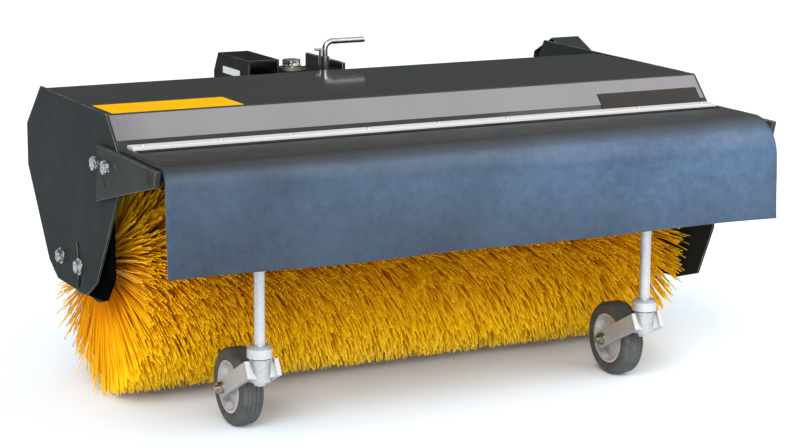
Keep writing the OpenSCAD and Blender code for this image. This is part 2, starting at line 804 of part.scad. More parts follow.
module bristle_roll(x1, x2, seed0) {
    cols = strand_cols;
    rows = strand_rows;
    pitch = (x2 - x1) / cols;
    // Outer corners of the backing, then inner end rings, then the strands
    outer = [for (c = [0:cols], row = [0:rows - 1])
        on_roll(x1 + c * pitch, backing_out, (row - 0.5) * 360 / rows)];
    inner_pts = [for (x = [x1, x2], row = [0:rows - 1])
        on_roll(x, backing_in, (row - 0.5) * 360 / rows)];
    strands = [for (c = [0:cols - 1], row = [0:rows - 1])
        let (x = x1 + (c + 0.5) * pitch,
            share = (x - roll_mid) / (roll_right - roll_mid),
            lean = end_lean * pow(share, 5),
            seed = seed0 + c * rows + row)
        each concat(strand_base(x, row), strand_tip(x, row, seed, lean))];
    o = function (c, row) c * rows + row % rows;
    i = function (e, row) (cols + 1) * rows + e * rows + row % rows;
    s = function (c, row, k) (cols + 3) * rows + (c * rows + row) * 6 + k;
    cells = [for (c = [0:cols - 1], row = [0:rows - 1])
        let (a = o(c, row), b = o(c + 1, row), d = o(c + 1, row + 1), e = o(c, row + 1),
            p = s(c, row, 0), q = s(c, row, 1), t = s(c, row, 2),
            p2 = s(c, row, 3), q2 = s(c, row, 4), t2 = s(c, row, 5))
        each [[a, b, p], [b, q, p], [b, d, q], [d, t, q], [d, e, t], [e, p, t], [e, a, p],
            [p, q, q2], [p, q2, p2], [q, t, t2], [q, t2, q2], [t, p, p2], [t, p2, t2],
            [p2, q2, t2]]];
    bore = [for (row = [0:rows - 1])
        each [[i(0, row), i(0, row + 1), i(1, row)], [i(1, row), i(0, row + 1), i(1, row + 1)]]];
    ends = [for (row = [0:rows - 1])
        each [[o(0, row), o(0, row + 1), i(0, row)], [i(0, row), o(0, row + 1), i(0, row + 1)],
            [o(cols, row), i(1, row), o(cols, row + 1)],
            [i(1, row), i(1, row + 1), o(cols, row + 1)]]];
    translate([0, brush_y, brush_z])
        polyhedron(concat(outer, inner_pts, strands), concat(cells, bore, ends));
}
module bristle_roll_left() {
    color(yellow) bristle_roll(roll_left, roll_mid - roll_split / 2, 0);
}
module bristle_roll_right() {
    color(yellow) bristle_roll(roll_mid + roll_split / 2, roll_right, 500);
}

// Chain drive in its case on the right end plate

brush_axis = [brush_y, brush_z];
drive_axis = [drive_y, drive_z];
case_screws_at = [
    drive_axis + [48, 50], drive_axis + [-20, 70],
    brush_axis + 0.36 * (drive_axis - brush_axis), brush_axis + 0.62 * (drive_axis - brush_axis)];
case_outline = [
    drive_axis + [2, 110], drive_axis + [-44, 90], brush_axis + [-80, 35], brush_axis + [-80, -40],
    brush_axis + [-35, -82], brush_axis + [32, -82], brush_axis + [75, -62],
    drive_axis + [50, -66], drive_axis + [80, 0], drive_axis + [66, 78]];

// Teeth end inside the rollers, so that they turn clear of the chain
tooth_h = 4;
tooth_root = 5;
tooth_tip = 2;
hub_wall_brush = 10;
hub_wall_drive = 5;
module sprocket(axis, teeth, pitch_r) {
    root_r = pitch_r - chain_roller_r - tooth_h;
    tip_r = pitch_r - chain_roller_r - 2 * face_gap;
    along_x(chain_x - sprocket_t / 2, chain_x + sprocket_t / 2) translate(axis) {
        circle(root_r);
        for (k = [0:teeth - 1]) rotate(k * 360 / teeth)
            polygon([[root_r - over, -tooth_root], [tip_r, -tooth_tip], [tip_r, tooth_tip],
                [root_r - over, tooth_root]]);
    }
}
module sprocket_hub(axis, r_hub, r_shaft) {
    difference() {
        rod_x(r_hub, chain_x - sprocket_hub_l / 2, chain_x + sprocket_hub_l / 2, axis[0], axis[1]);
        rod_x(r_shaft + run_gap, chain_x - sprocket_hub_l, chain_x + sprocket_hub_l, axis[0], axis[1]);
    }
}
module brush_sprocket() {
    color("slategray") difference() {
        union() {
            sprocket(brush_axis, brush_teeth, brush_pitch_r);
            sprocket_hub(brush_axis, brush_shaft_d / 2 + hub_wall_brush, brush_shaft_d / 2);
        }
        rod_x(brush_shaft_d / 2 + run_gap, half, half + case_w, brush_y, brush_z);
    }
}
module drive_sprocket() {
    color("slategray") difference() {
        union() {
            sprocket(drive_axis, drive_teeth, drive_pitch_r);
            sprocket_hub(drive_axis, cross_shaft_d / 2 + hub_wall_drive, cross_shaft_d / 2);
        }
        rod_x(cross_shaft_d / 2 + run_gap, half, half + case_w, drive_y, drive_z);
    }
}
// Places of the chain's rollers, all round the two sprockets
function run_points(a, b, n) = [for (k = [1:n - 1]) a + (b - a) * k / n];
chain_lean = atan2(drive_z - brush_z, drive_y - brush_y);
chain_wrap = acos((brush_pitch_r - drive_pitch_r) / norm(drive_axis - brush_axis));
function on_wheel(c, r, a) = c + r * [cos(a), sin(a)];
chain_points =
    let (low1 = on_wheel(brush_axis, brush_pitch_r, chain_lean - chain_wrap),
        low2 = on_wheel(drive_axis, drive_pitch_r, chain_lean - chain_wrap),
        high1 = on_wheel(brush_axis, brush_pitch_r, chain_lean + chain_wrap),
        high2 = on_wheel(drive_axis, drive_pitch_r, chain_lean + chain_wrap),
        runs = round(norm(low2 - low1) / chain_pitch))
    concat(
        run_points(low1, low2, runs), run_points(high1, high2, runs),
        arc(drive_axis, drive_pitch_r, chain_lean - chain_wrap, chain_lean + chain_wrap, 4),
        arc(brush_axis, brush_pitch_r, chain_lean + chain_wrap, chain_lean - chain_wrap + 360, 12));
module drive_chain() {
    side = chain_inner_w / 2;
    color("gray") {
        for (x = [chain_x - side - chain_plate_t, chain_x + side])
            along_x(x, x + chain_plate_t) difference() {
                belt(brush_axis, brush_pitch_r + chain_plate_h, drive_axis, drive_pitch_r + chain_plate_h);
                belt(brush_axis, brush_pitch_r - chain_plate_h, drive_axis, drive_pitch_r - chain_plate_h);
            }
        for (p = chain_points)
            rod_x(chain_roller_r, chain_x - side, chain_x + side, p[0], p[1]);
    }
}
module chain_case() {
    color(charcoal) difference() {
        along_x(half, half + case_w) polygon(case_outline);
        along_x(half - over, half + case_w - case_t) polygon(inset(case_outline, case_t));
        for (p = case_screws_at)
            rod_x(case_screw_r + run_gap, half, half + case_w + over, p[0], p[1]);
    }
}
module case_screws() {
    color(zinc) for (p = case_screws_at) {
        rod_x(case_screw_r, inner, half + case_w, p[0], p[1]);
        hex_x(3 * case_screw_r, half + case_w, half + case_w + case_head_h, p[0], p[1]);
    }
}

// Rear beam, gearbox and shafts

module rear_beam() {
    color(charcoal) tube_x(-inner + rear_beam_x, inner, skirt_y, rear_beam_y2,
        rear_beam_z, rear_beam_z + rear_beam_h, rear_beam_wall);
}
module gearbox_housing() {
    w = gearbox_wall;
    color("#4a5050") difference() {
        box([gearbox_x1, gearbox_y1, gearbox_z1], [gearbox_x2, gearbox_y2, gearbox_z2]);
        box([gearbox_x1 - over, gearbox_y1 + w, gearbox_z1 + w],
            [gearbox_x2 - w, gearbox_y2 - w, gearbox_z2 - w]);
        rod_x(cross_shaft_d / 2 + run_gap, gearbox_x2 - w - over, gearbox_x2 + over, drive_y, drive_z);
        rod_y(input_seat_r + run_gap, gearbox_y2 - w - over, gearbox_y2 + over, hitch_x, drive_z);
    }
}
gearbox_screws_at = [
    for (y = [gearbox_y1 + gearbox_wall / 2, gearbox_y2 - gearbox_wall / 2],
        z = [gearbox_z1 + gearbox_wall / 2, gearbox_z2 - gearbox_wall / 2]) [y, z]];
cover_t = 6;
module gearbox_cover() {
    color("#4a5050")
        box([gearbox_x1 - cover_t, gearbox_y1, gearbox_z1], [gearbox_x1, gearbox_y2, gearbox_z2]);
}
module gearbox_screws() {
    color(zinc) for (p = gearbox_screws_at)
        hex_x(gearbox_wall, gearbox_x1 - cover_t - cover_head_h, gearbox_x1 - cover_t, p[0], p[1]);
}
// The input shaft: the seat of its gear, the wider seat in the housing's wall, and the stub
module input_shaft() {
    wall_y = gearbox_y2 - gearbox_wall;
    stub_y = gearbox_y2 + input_shoulder;
    color("lightsteelblue") {
        rod_y(cross_shaft_d / 2, drive_y + gear_apex_gap, wall_y, hitch_x, drive_z);
        rod_y(input_seat_r, wall_y, stub_y, hitch_x, drive_z);
        rod_y(input_d / 2, stub_y, stub_y + input_l, hitch_x, drive_z);
    }
}
module cross_shaft() {
    color("lightsteelblue") rod_x(cross_shaft_d / 2, hitch_x + gear_apex_gap, chain_x + stub_end,
        drive_y, drive_z);
}
// A bevel gear on the axis Z with its cone's point at the origin and its face towards it
bevel_face = 12;
bevel_tooth_h = 3;
module bevel_gear(shaft_r, turn) {
    share = (bevel_r - bevel_face) / bevel_r;
    root = bevel_tooth_h;
    tooth_a = 360 / bevel_teeth * 0.18;
    difference() {
        union() {
            rotate_extrude() polygon([
                [0, bevel_r * share + root], [bevel_r * share - root, bevel_r * share + root],
                [bevel_r - root, bevel_r + root], [bevel_r - root, bevel_r + root + 6],
                [0, bevel_r + root + 6]]);
            // Teeth, drawn in towards the cone's point
            for (k = [0:bevel_teeth - 1]) rotate((k + turn) * 360 / bevel_teeth)
                polyhedron(
                    [for (f = [share, 1], a = [-tooth_a, tooth_a], d = [-1, root + 2])
                        let (r = f * bevel_r - d * 0.7, z = f * bevel_r + d * 0.7)
                        [r * cos(a), r * sin(a), z]],
                    [[2, 3, 1, 0], [5, 7, 6, 4], [1, 5, 4, 0], [6, 7, 3, 2], [4, 6, 2, 0], [3, 7, 5, 1]]);
        }
        translate([0, 0, -1]) cylinder(r = shaft_r + run_gap, h = 2 * bevel_r);
    }
}
module input_bevel_gear() {
    color("goldenrod") translate([hitch_x, drive_y, drive_z]) rotate([-90, 0, 0])
        bevel_gear(cross_shaft_d / 2, 0);
}
module cross_bevel_gear() {
    color("goldenrod") translate([hitch_x, drive_y, drive_z]) rotate([0, 90, 0])
        bevel_gear(cross_shaft_d / 2, 0.5);
}
module cross_bearing() {
    color(charcoal) translate([inner, drive_y, drive_z]) rotate([0, -90, 0])
        flange_bearing(cross_shaft_d / 2, cross_base_r, cross_boss_r);
}
guard_t = 3;
module shaft_guard() {
    color(charcoal) translate([gearbox_x2, drive_y, drive_z]) rotate([0, 90, 0])
        ring(cross_boss_r + run_gap + guard_t, cross_boss_r + run_gap, inner - bearing_base_t - gearbox_x2);
}

// Hitch

module hitch_post() {
    color(charcoal) difference() {
        box([hitch_x - post_w / 2, skirt_y + post_front, rear_beam_z + rear_beam_h],
            [hitch_x + post_w / 2, rear_beam_y2, base_z]);
        box([hitch_x - post_w / 2 + post_wall, skirt_y, rear_beam_z + rear_beam_h - over],
            [hitch_x + post_w / 2 - post_wall, rear_beam_y2 - post_wall, base_z + over]);
    }
}
module turntable_base() {
    color(black) translate([hitch_x, king_y, base_z])
        ring(base_r, king_d / 2 + run_gap, base_t);
}
module swivel_plate() {
    color(black) difference() {
        box([head_x1, king_y - swivel_front, swivel_z1], [head_x2, king_y + swivel_back, swivel_z2]);
        translate([hitch_x, king_y, swivel_z1 - over])
            cylinder(r = king_d / 2 + run_gap, h = swivel_t + 2 * over);
        translate([lever_x, lever_y, swivel_z1 - over])
            cylinder(r = lever_d / 2 + run_gap, h = swivel_t + 2 * over);
    }
}
module hitch_channel() {
    y1 = king_y - channel_front;
    w = channel_wall;
    z2 = channel_z + channel_h;
    color(charcoal) {
        difference() {
            along_x(head_x1 - channel_w, head_x1)
                polygon([[y1, channel_z], [head_y, channel_z], [head_y - channel_slant, z2], [y1, z2]]);
            box([head_x1 - channel_w + w, y1 - over, channel_z + w],
                [head_x1 - w, head_y + over, z2 - w]);
        }
        // The outer wall runs on down to the flange
        along_x(head_x1 - channel_w, head_x1 - channel_w + w)
            polygon([[head_y - step_top, channel_z + w / 2], [head_y - step_foot, flange_z],
                [head_y, flange_z], [head_y, channel_z + w / 2]]);
    }
}
module hitch_cheek() {
    y1 = king_y - channel_front;
    color(charcoal) along_x(head_x2, head_x2 + cheek_t)
        polygon([[y1, channel_z], [head_y - step_top, channel_z], [head_y - step_foot, flange_z],
            [head_y, flange_z], [head_y, channel_z + cheek_h], [y1, channel_z + cheek_h]]);
}
module hitch_flange() {
    color(charcoal) difference() {
        box([head_x1 - channel_w - flange_over, head_y, flange_z],
            [head_x2 + cheek_t + flange_over, head_y + flange_t, flange_z + flange_h]);
        for (side = [-0.5, 0.5])
            rod_y(flange_hole_d / 2, head_y - over, head_y + flange_t + over,
                hitch_x + side * flange_hole_dx, flange_z + flange_h / 2);
    }
}
king_af = 1.5 * king_d;
module king_bolt() {
    color(zinc) translate([hitch_x, king_y, 0]) {
        translate([0, 0, base_z - king_nut_h])
            cylinder(d = king_d, h = swivel_z2 + king_washer_h - base_z + king_nut_h);
        translate([0, 0, swivel_z2 + king_washer_h])
            cylinder(d = king_af / cos(30), h = king_head_h, $fn = 6);
    }
}
module king_washers() {
    color("gray") translate([hitch_x, king_y, swivel_z2]) {
        ring(king_washer_r, king_d / 2 + run_gap, king_washer_h / 2);
        translate([0, 0, king_washer_h / 2])
            ring(king_washer_r - king_washer_step, king_d / 2 + run_gap, king_washer_h / 2);
    }
}
module king_nut() {
    color(zinc) translate([hitch_x, king_y, base_z - king_nut_h]) difference() {
        cylinder(d = king_af / cos(30), h = king_nut_h, $fn = 6);
        translate([0, 0, -over]) cylinder(r = king_d / 2 + run_gap, h = king_nut_h + 2 * over);
    }
}
// The guide of the clamp lever, with the thin keeper rod beside it
module lever_sleeve() {
    keeper_h = lever_h - lever_d;
    keeper_x = lever_x - sleeve_r - keeper_d / 2;
    color(zinc) {
        translate([lever_x, lever_y, swivel_z2]) ring(sleeve_r, lever_d / 2 + run_gap, sleeve_h);
        translate([keeper_x, lever_y - keeper_front, swivel_z2]) cylinder(d = keeper_d, h = keeper_h);
        rod_x(keeper_d / 2, keeper_x - keeper_hook, keeper_x, lever_y - keeper_front,
            swivel_z2 + keeper_h - keeper_d / 2);
    }
}
module clamp_lever() {
    r = lever_d / 2;
    top = swivel_z2 + lever_h;
    color(zinc) translate([lever_x, lever_y, 0]) {
        translate([0, 0, swivel_z1 - face_gap])
            cylinder(r = r, h = top - lever_bend_r - swivel_z1 + face_gap);
        translate([lever_bend_r, 0, top - lever_bend_r]) rotate([90, 0, 0])
            rotate([0, 0, 90]) rotate_extrude(angle = 90) translate([lever_bend_r, 0]) circle(r);
        rod_x(r, lever_bend_r, lever_l, 0, top);
    }
}

place() end_plate_left();
place() end_plate_right();
place() hood();
place() front_band();
place() clamp_strip();
place() strip_screws();
place() rubber_flap();
place() support_arm_left();
place() support_arm_right();
place() arm_bolts();
place() front_beam();
place() leg_clamp_left();
place() leg_clamp_right();
place() clamp_screws();
place() caster_leg_left();
place() caster_leg_right();
place() swivel_nut_left();
place() swivel_nut_right();
place() caster_fork_left();
place() caster_fork_right();
place() axle_bolt_left();
place() axle_bolt_right();
place() wheel_rim_left();
place() wheel_rim_right();
place() tyre_left();
place() tyre_right();
place() bearing_bracket();
place() bracket_bolts();
place() brush_bearing_left();
place() brush_bearing_right();
place() brush_shaft();
place() brush_core();
place() bristle_roll_left();
place() bristle_roll_right();
place() brush_sprocket();
place() drive_sprocket();
place() drive_chain();
place() chain_case();
place() case_screws();
place() rear_beam();
place() hitch_post();
place() turntable_base();
place() gearbox_housing();
place() gearbox_cover();
place() gearbox_screws();
place() input_shaft();
place() input_bevel_gear();
place() cross_shaft();
place() cross_bevel_gear();
place() cross_bearing();
place() shaft_guard();
place() swivel_plate();
place() hitch_channel();
place() hitch_cheek();
place() hitch_flange();
place() king_bolt();
place() king_washers();
place() king_nut();
place() lever_sleeve();
place() clamp_lever();
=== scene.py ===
import math

import bpy
import numpy as np
from mathutils import Matrix, Vector


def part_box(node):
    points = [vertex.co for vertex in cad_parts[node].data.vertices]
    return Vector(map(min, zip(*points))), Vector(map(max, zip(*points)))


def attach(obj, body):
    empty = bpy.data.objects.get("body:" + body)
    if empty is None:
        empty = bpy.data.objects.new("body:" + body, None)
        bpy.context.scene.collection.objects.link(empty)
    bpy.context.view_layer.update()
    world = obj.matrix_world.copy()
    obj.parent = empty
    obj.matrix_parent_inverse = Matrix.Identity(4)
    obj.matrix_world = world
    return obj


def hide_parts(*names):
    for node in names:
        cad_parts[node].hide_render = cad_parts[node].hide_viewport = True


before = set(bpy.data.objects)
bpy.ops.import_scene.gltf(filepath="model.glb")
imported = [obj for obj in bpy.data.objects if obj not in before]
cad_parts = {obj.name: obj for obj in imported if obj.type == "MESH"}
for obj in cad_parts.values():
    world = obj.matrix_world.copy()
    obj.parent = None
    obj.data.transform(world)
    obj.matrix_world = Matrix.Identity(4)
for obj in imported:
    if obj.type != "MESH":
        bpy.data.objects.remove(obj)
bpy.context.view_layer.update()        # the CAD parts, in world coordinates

# The camera stands in front of the left end, about a metre above the floor, and looks down on
# the hood. A long lens keeps the two ends of the machine nearly the same size.
CAMERA_PLACE = (-1.6672, -3.3140, 0.9918)
CAMERA_YAW = math.radians(27.123)
CAMERA_PITCH = math.radians(11.5125)
CAMERA_ROLL = math.radians(0.2543)
CAMERA_LENS = 102.46
SENSOR_WIDE = 36.0
camera_data = bpy.data.cameras.new("photo_camera")
camera_data.lens = CAMERA_LENS
camera_data.sensor_width = SENSOR_WIDE
camera = bpy.data.objects.new("photo_camera", camera_data)
bpy.context.scene.collection.objects.link(camera)
camera.location = CAMERA_PLACE
aim = Matrix.Rotation(-CAMERA_YAW, 3, "Z") @ Matrix.Rotation(math.pi / 2 - CAMERA_PITCH, 3, "X")
camera.rotation_euler = (aim @ Matrix.Rotation(CAMERA_ROLL, 3, "Z")).to_euler()
bpy.context.scene.camera = camera

# The studio: a white floor that runs out of sight, a soft main lamp high on the left, a wide one
# low in front, a soft box on the right, and a sky that is bright overhead.
FLOOR_SIZE = 60.0
FLOOR_DROP = 0.0005
FLOOR_TINT = (0.86, 0.93, 0.99)
FLOOR_ROUGH = 0.9
FLOOR_GLOW = 0.03
SKY_LOW = 0.10
SKY_LOW_PLACE = 0.42
SKY_HIGH = 1.2
SKY_HIGH_PLACE = 0.92
BOX_PLACE = Vector((1.15, -1.70, 1.75))
BOX_AIM = Vector((0.35, -0.40, 0.38))
BOX_POWER = 32.0
BOX_SIZE = 2.2
bpy.context.scene.view_settings.view_transform = "Standard"


def blank_finish(name):
    """A new material with one Principled shader, and that shader."""
    finish = bpy.data.materials.new(name)
    finish.use_nodes = True
    shader = finish.node_tree.nodes["Principled BSDF"]
    return finish, shader


def add_node(finish, kind, **settings):
    """A node in the material, with its own settings."""
    node = finish.node_tree.nodes.new(kind)
    for key, value in settings.items():
        setattr(node, key, value)
    return node


def join(finish, start, end):
    """A link from one socket to another."""
    finish.node_tree.links.new(start, end)


bpy.ops.object.select_all(action="DESELECT")
bpy.ops.mesh.primitive_plane_add(size=FLOOR_SIZE, location=(0, 0, -FLOOR_DROP))
floor = bpy.context.object
floor.name = "floor"
floor_finish, floor_shader = blank_finish("floor_white")
floor_shader.inputs["Base Color"].default_value = (*FLOOR_TINT, 1)
floor_shader.inputs["Roughness"].default_value = FLOOR_ROUGH
floor_shader.inputs["Specular IOR Level"].default_value = 0.0
floor_shader.inputs["Emission Color"].default_value = (1, 1, 1, 1)
floor_rays = add_node(floor_finish, "ShaderNodeLightPath")
floor_seen = floor_rays.outputs["Is Camera Ray"]
for ray in ("Is Glossy Ray", "Is Transmission Ray"):
    total = add_node(floor_finish, "ShaderNodeMath", operation="ADD")
    join(floor_finish, floor_seen, total.inputs[0])
    join(floor_finish, floor_rays.outputs[ray], total.inputs[1])
    floor_seen = total.outputs[0]
floor_glow = add_node(floor_finish, "ShaderNodeMath", operation="MULTIPLY")
join(floor_finish, floor_seen, floor_glow.inputs[0])
floor_glow.inputs[1].default_value = FLOOR_GLOW
join(floor_finish, floor_glow.outputs[0], floor_shader.inputs["Emission Strength"])
floor.data.materials.append(floor_finish)

world = bpy.data.worlds.new("studio")
bpy.context.scene.world = world
world.use_nodes = True
sky = world.node_tree.nodes["Background"]
sky_coords = world.node_tree.nodes.new("ShaderNodeTexCoord")
sky_split = world.node_tree.nodes.new("ShaderNodeSeparateXYZ")
sky_ramp = world.node_tree.nodes.new("ShaderNodeValToRGB")
world.node_tree.links.new(sky_coords.outputs["Generated"], sky_split.inputs[0])
world.node_tree.links.new(sky_split.outputs["Z"], sky_ramp.inputs[0])
world.node_tree.links.new(sky_ramp.outputs["Color"], sky.inputs["Color"])
sky_ramp.color_ramp.elements[0].position = SKY_LOW_PLACE
sky_ramp.color_ramp.elements[0].color = (SKY_LOW, SKY_LOW, SKY_LOW, 1)
sky_ramp.color_ramp.elements[1].position = SKY_HIGH_PLACE
sky_ramp.color_ramp.elements[1].color = (SKY_HIGH, SKY_HIGH, SKY_HIGH, 1)


def soft_sun(name, strength, toward, angle):
    """A distant lamp that shines along toward, with soft shadows of that angle in degrees."""
    data = bpy.data.lights.new(name, "SUN")
    data.energy = strength
    data.angle = math.radians(angle)
    lamp = bpy.data.objects.new(name, data)
    bpy.context.scene.collection.objects.link(lamp)
    lamp.rotation_euler = Vector(toward).to_track_quat("-Z", "Y").to_euler()


soft_sun("key_lamp", strength=2.0, toward=(0.52, 0.60, -0.61), angle=30)
soft_sun("low_lamp", strength=2.2, toward=(0.20, 0.965, -0.16), angle=60)
box_data = bpy.data.lights.new("right_box", "AREA")
box_data.energy = BOX_POWER
box_data.size = BOX_SIZE
right_box = bpy.data.objects.new("right_box", box_data)
bpy.context.scene.collection.objects.link(right_box)
right_box.location = BOX_PLACE
right_box.rotation_euler = (BOX_AIM - BOX_PLACE).to_track_quat("-Z", "Y").to_euler()
right_box.visible_camera = False

# Hood, end plates, support arms, chain case and the beams between them: sheet steel, folded and
# cut, with a charcoal powder coat. The coat is a little uneven, and rubbed along the cut edges.
# The hood is glossier than the plates, so that the hitch lever is mirrored in it.
CHARCOAL_DARK = (0.020, 0.024, 0.024)
CHARCOAL_LIGHT = (0.026, 0.030, 0.030)
HOOD_DARK = (0.014, 0.018, 0.018)
HOOD_LIGHT = (0.020, 0.024, 0.024)
ARM_DARK = (0.034, 0.036, 0.035)
ARM_LIGHT = (0.044, 0.046, 0.045)
EDGE_COAT = (0.05, 0.055, 0.055)
EDGE_STEEL = (0.26, 0.26, 0.26)
EDGE_ROUGH = 0.4
GRAIN_SHARE = 0.35
GLOSS_LOW = 0.92
GLOSS_HIGH = 1.08
PEEL_DEPTH = 0.0004
MERGE_GAP = 0.00001
FLAT_ANGLE = math.radians(1)
ROUND_ANGLE = math.radians(35)
EVEN_WEIGHT = 80


def surface_coords(finish, scale=(1, 1, 1)):
    """Object coordinates in metres, stretched by scale."""
    coords = add_node(finish, "ShaderNodeTexCoord")
    mapping = add_node(finish, "ShaderNodeMapping")
    mapping.inputs["Scale"].default_value = scale
    join(finish, coords.outputs["Object"], mapping.inputs["Vector"])
    return mapping.outputs["Vector"]


def noise(finish, vector, scale, detail=4.0, rough=0.55):
    """A noise pattern from 0 to 1."""
    node = add_node(finish, "ShaderNodeTexNoise")
    node.inputs["Scale"].default_value = scale
    node.inputs["Detail"].default_value = detail
    node.inputs["Roughness"].default_value = rough
    join(finish, vector, node.inputs["Vector"])
    return node.outputs["Fac"]


def ramp(finish, value, stops):
    """Colours for a value: stops are (place, colour) pairs, and a colour may be one number."""
    node = add_node(finish, "ShaderNodeValToRGB")
    elements = node.color_ramp.elements
    while len(elements) < len(stops):
        elements.new(0.5)
    for element, (place, colour) in zip(elements, stops):
        element.position = place
        colour = (colour,) * 3 if isinstance(colour, (int, float)) else colour
        element.color = (*colour, 1)
    join(finish, value, node.inputs["Fac"])
    return node.outputs["Color"]


def mix(finish, share, first, second, blend="MIX"):
    """A colour mixed from two: each may be a socket or a colour, and share a socket or a number."""
    node = add_node(finish, "ShaderNodeMix", data_type="RGBA", blend_type=blend)
    for socket, value in ((node.inputs[0], share), (node.inputs[6], first), (node.inputs[7], second)):
        if isinstance(value, bpy.types.NodeSocket):
            join(finish, value, socket)
        else:
            socket.default_value = value if isinstance(value, (int, float)) else (*value, 1)
    return node.outputs[2]


def bump(finish, shader, height, strength, depth):
    """Relief from a height pattern, with depth in metres."""
    node = add_node(finish, "ShaderNodeBump")
    node.inputs["Strength"].default_value = strength
    node.inputs["Distance"].default_value = depth
    join(finish, height, node.inputs["Height"])
    join(finish, node.outputs["Normal"], shader.inputs["Normal"])


def coat(name, dark, light, rough, specular, peel):
    """Powder coat between two shades, with an uneven gloss and a fine orange-peel surface."""
    finish, shader = blank_finish(name)
    place = surface_coords(finish)
    clouds = noise(finish, place, scale=7.0)
    grains = noise(finish, place, scale=320.0, detail=3.0)
    tone = mix(finish, GRAIN_SHARE, clouds, grains)
    join(finish, ramp(finish, tone, ((0.36, dark), (0.64, light))), shader.inputs["Base Color"])
    spread = noise(finish, place, scale=30.0)
    gloss = ramp(finish, spread, ((0.3, GLOSS_LOW * rough), (0.7, GLOSS_HIGH * rough)))
    join(finish, gloss, shader.inputs["Roughness"])
    shader.inputs["Specular IOR Level"].default_value = specular
    bump(finish, shader, noise(finish, place, scale=650.0, detail=2.0), peel, PEEL_DEPTH)
    return finish


def rubbed(name, coat_colour, metal_colour):
    """The rounded cut edge of a coated sheet, where steel shows through in places."""
    finish, shader = blank_finish(name)
    wear = noise(finish, surface_coords(finish), scale=38.0, detail=6.0, rough=0.7)
    share = ramp(finish, wear, ((0.42, 0.0), (0.62, 1.0)))
    join(finish, mix(finish, share, coat_colour, metal_colour), shader.inputs["Base Color"])
    shader.inputs["Roughness"].default_value = EDGE_ROUGH
    return finish


def dress(node, finish, edge=0.0, worn=None):
    """Gives a solid its finish and rounds its edges by edge metres, with worn on the rounding."""
    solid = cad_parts[node]
    solid.data.materials.clear()
    solid.data.materials.append(finish)
    if "custom_normal" in solid.data.attributes:
        solid.data.attributes.remove(solid.data.attributes["custom_normal"])
    if edge == 0.0:
        return
    weld = solid.modifiers.new("merge", "WELD")
    weld.merge_threshold = MERGE_GAP
    flat = solid.modifiers.new("flat_faces", "DECIMATE")
    flat.decimate_type = "DISSOLVE"
    flat.angle_limit = FLAT_ANGLE
    rounding = solid.modifiers.new("round_edges", "BEVEL")
    rounding.width = edge
    rounding.segments = 2
    rounding.limit_method = "ANGLE"
    rounding.angle_limit = ROUND_ANGLE
    shading = solid.modifiers.new("even_shading", "WEIGHTED_NORMAL")
    shading.weight = EVEN_WEIGHT
    if worn:
        solid.data.materials.append(worn)
        rounding.material = 1
    solid.data.polygons.foreach_set("use_smooth", [True] * len(solid.data.polygons))


charcoal = coat("charcoal_coat", CHARCOAL_DARK, CHARCOAL_LIGHT, rough=0.5, specular=0.02, peel=0.2)
arm_charcoal = coat("arm_charcoal", ARM_DARK, ARM_LIGHT, rough=0.5, specular=0.03, peel=0.25)
hood_charcoal = coat("hood_charcoal", HOOD_DARK, HOOD_LIGHT, rough=0.08, specular=0.3, peel=0.01)
charcoal_edge = rubbed("charcoal_edge", EDGE_COAT, EDGE_STEEL)
for side in ("left", "right"):
    dress("end_plate_" + side, charcoal, edge=0.0007, worn=charcoal_edge)
    dress("support_arm_" + side, arm_charcoal, edge=0.0007, worn=charcoal_edge)
dress("hood", hood_charcoal, edge=0.0013)
for frame_piece in ("front_beam", "leg_clamp_left", "leg_clamp_right", "rear_beam", "hitch_post"):
    dress(frame_piece, charcoal, edge=0.0012)
dress("chain_case", charcoal, edge=0.0015, worn=charcoal_edge)

# The band on the hood's sloping face: silver-grey paint, with a coarse skin at the left end
# where it was sprayed on thickly.
BAND_ROUGH_END = 0.07
SILVER_DARK = (0.168, 0.163, 0.170)
SILVER_LIGHT = (0.188, 0.183, 0.190)
SILVER_ROUGH = 0.45
SILVER_SPECULAR = 0.25
SILVER_EVEN = (0.5, 0.5, 0.5)


def axes(finish, place):
    """The coordinates of a place, by the names X, Y and Z."""
    node = add_node(finish, "ShaderNodeSeparateXYZ")
    join(finish, place, node.inputs[0])
    return node.outputs


def span(finish, value, low, high, at_low=0.0, at_high=1.0):
    """A value that runs from at_low to at_high between low and high, and stays there outside."""
    node = add_node(finish, "ShaderNodeMapRange")
    node.inputs["From Min"].default_value = low
    node.inputs["From Max"].default_value = high
    node.inputs["To Min"].default_value = at_low
    node.inputs["To Max"].default_value = at_high
    join(finish, value, node.inputs["Value"])
    return node.outputs["Result"]


band_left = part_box("front_band")[0][0]
silver, silver_shader = blank_finish("silver_paint")
silver_place = surface_coords(silver)
silver_cloud = noise(silver, silver_place, scale=5.0)
silver_tone = ramp(silver, silver_cloud, ((0.3, SILVER_DARK), (0.7, SILVER_LIGHT)))
join(silver, silver_tone, silver_shader.inputs["Base Color"])
silver_shader.inputs["Roughness"].default_value = SILVER_ROUGH
silver_shader.inputs["Specular IOR Level"].default_value = SILVER_SPECULAR
silver_coarse = span(
    silver, axes(silver, silver_place)["X"], band_left, band_left + BAND_ROUGH_END,
    at_low=1.0, at_high=0.06)
silver_lumps = noise(silver, silver_place, scale=190.0, detail=4.0, rough=0.7)
silver_grain = mix(silver, silver_coarse, SILVER_EVEN, silver_lumps)
bump(silver, silver_shader, silver_grain, strength=1.0, depth=0.006)
dress("front_band", silver, edge=0.0003)

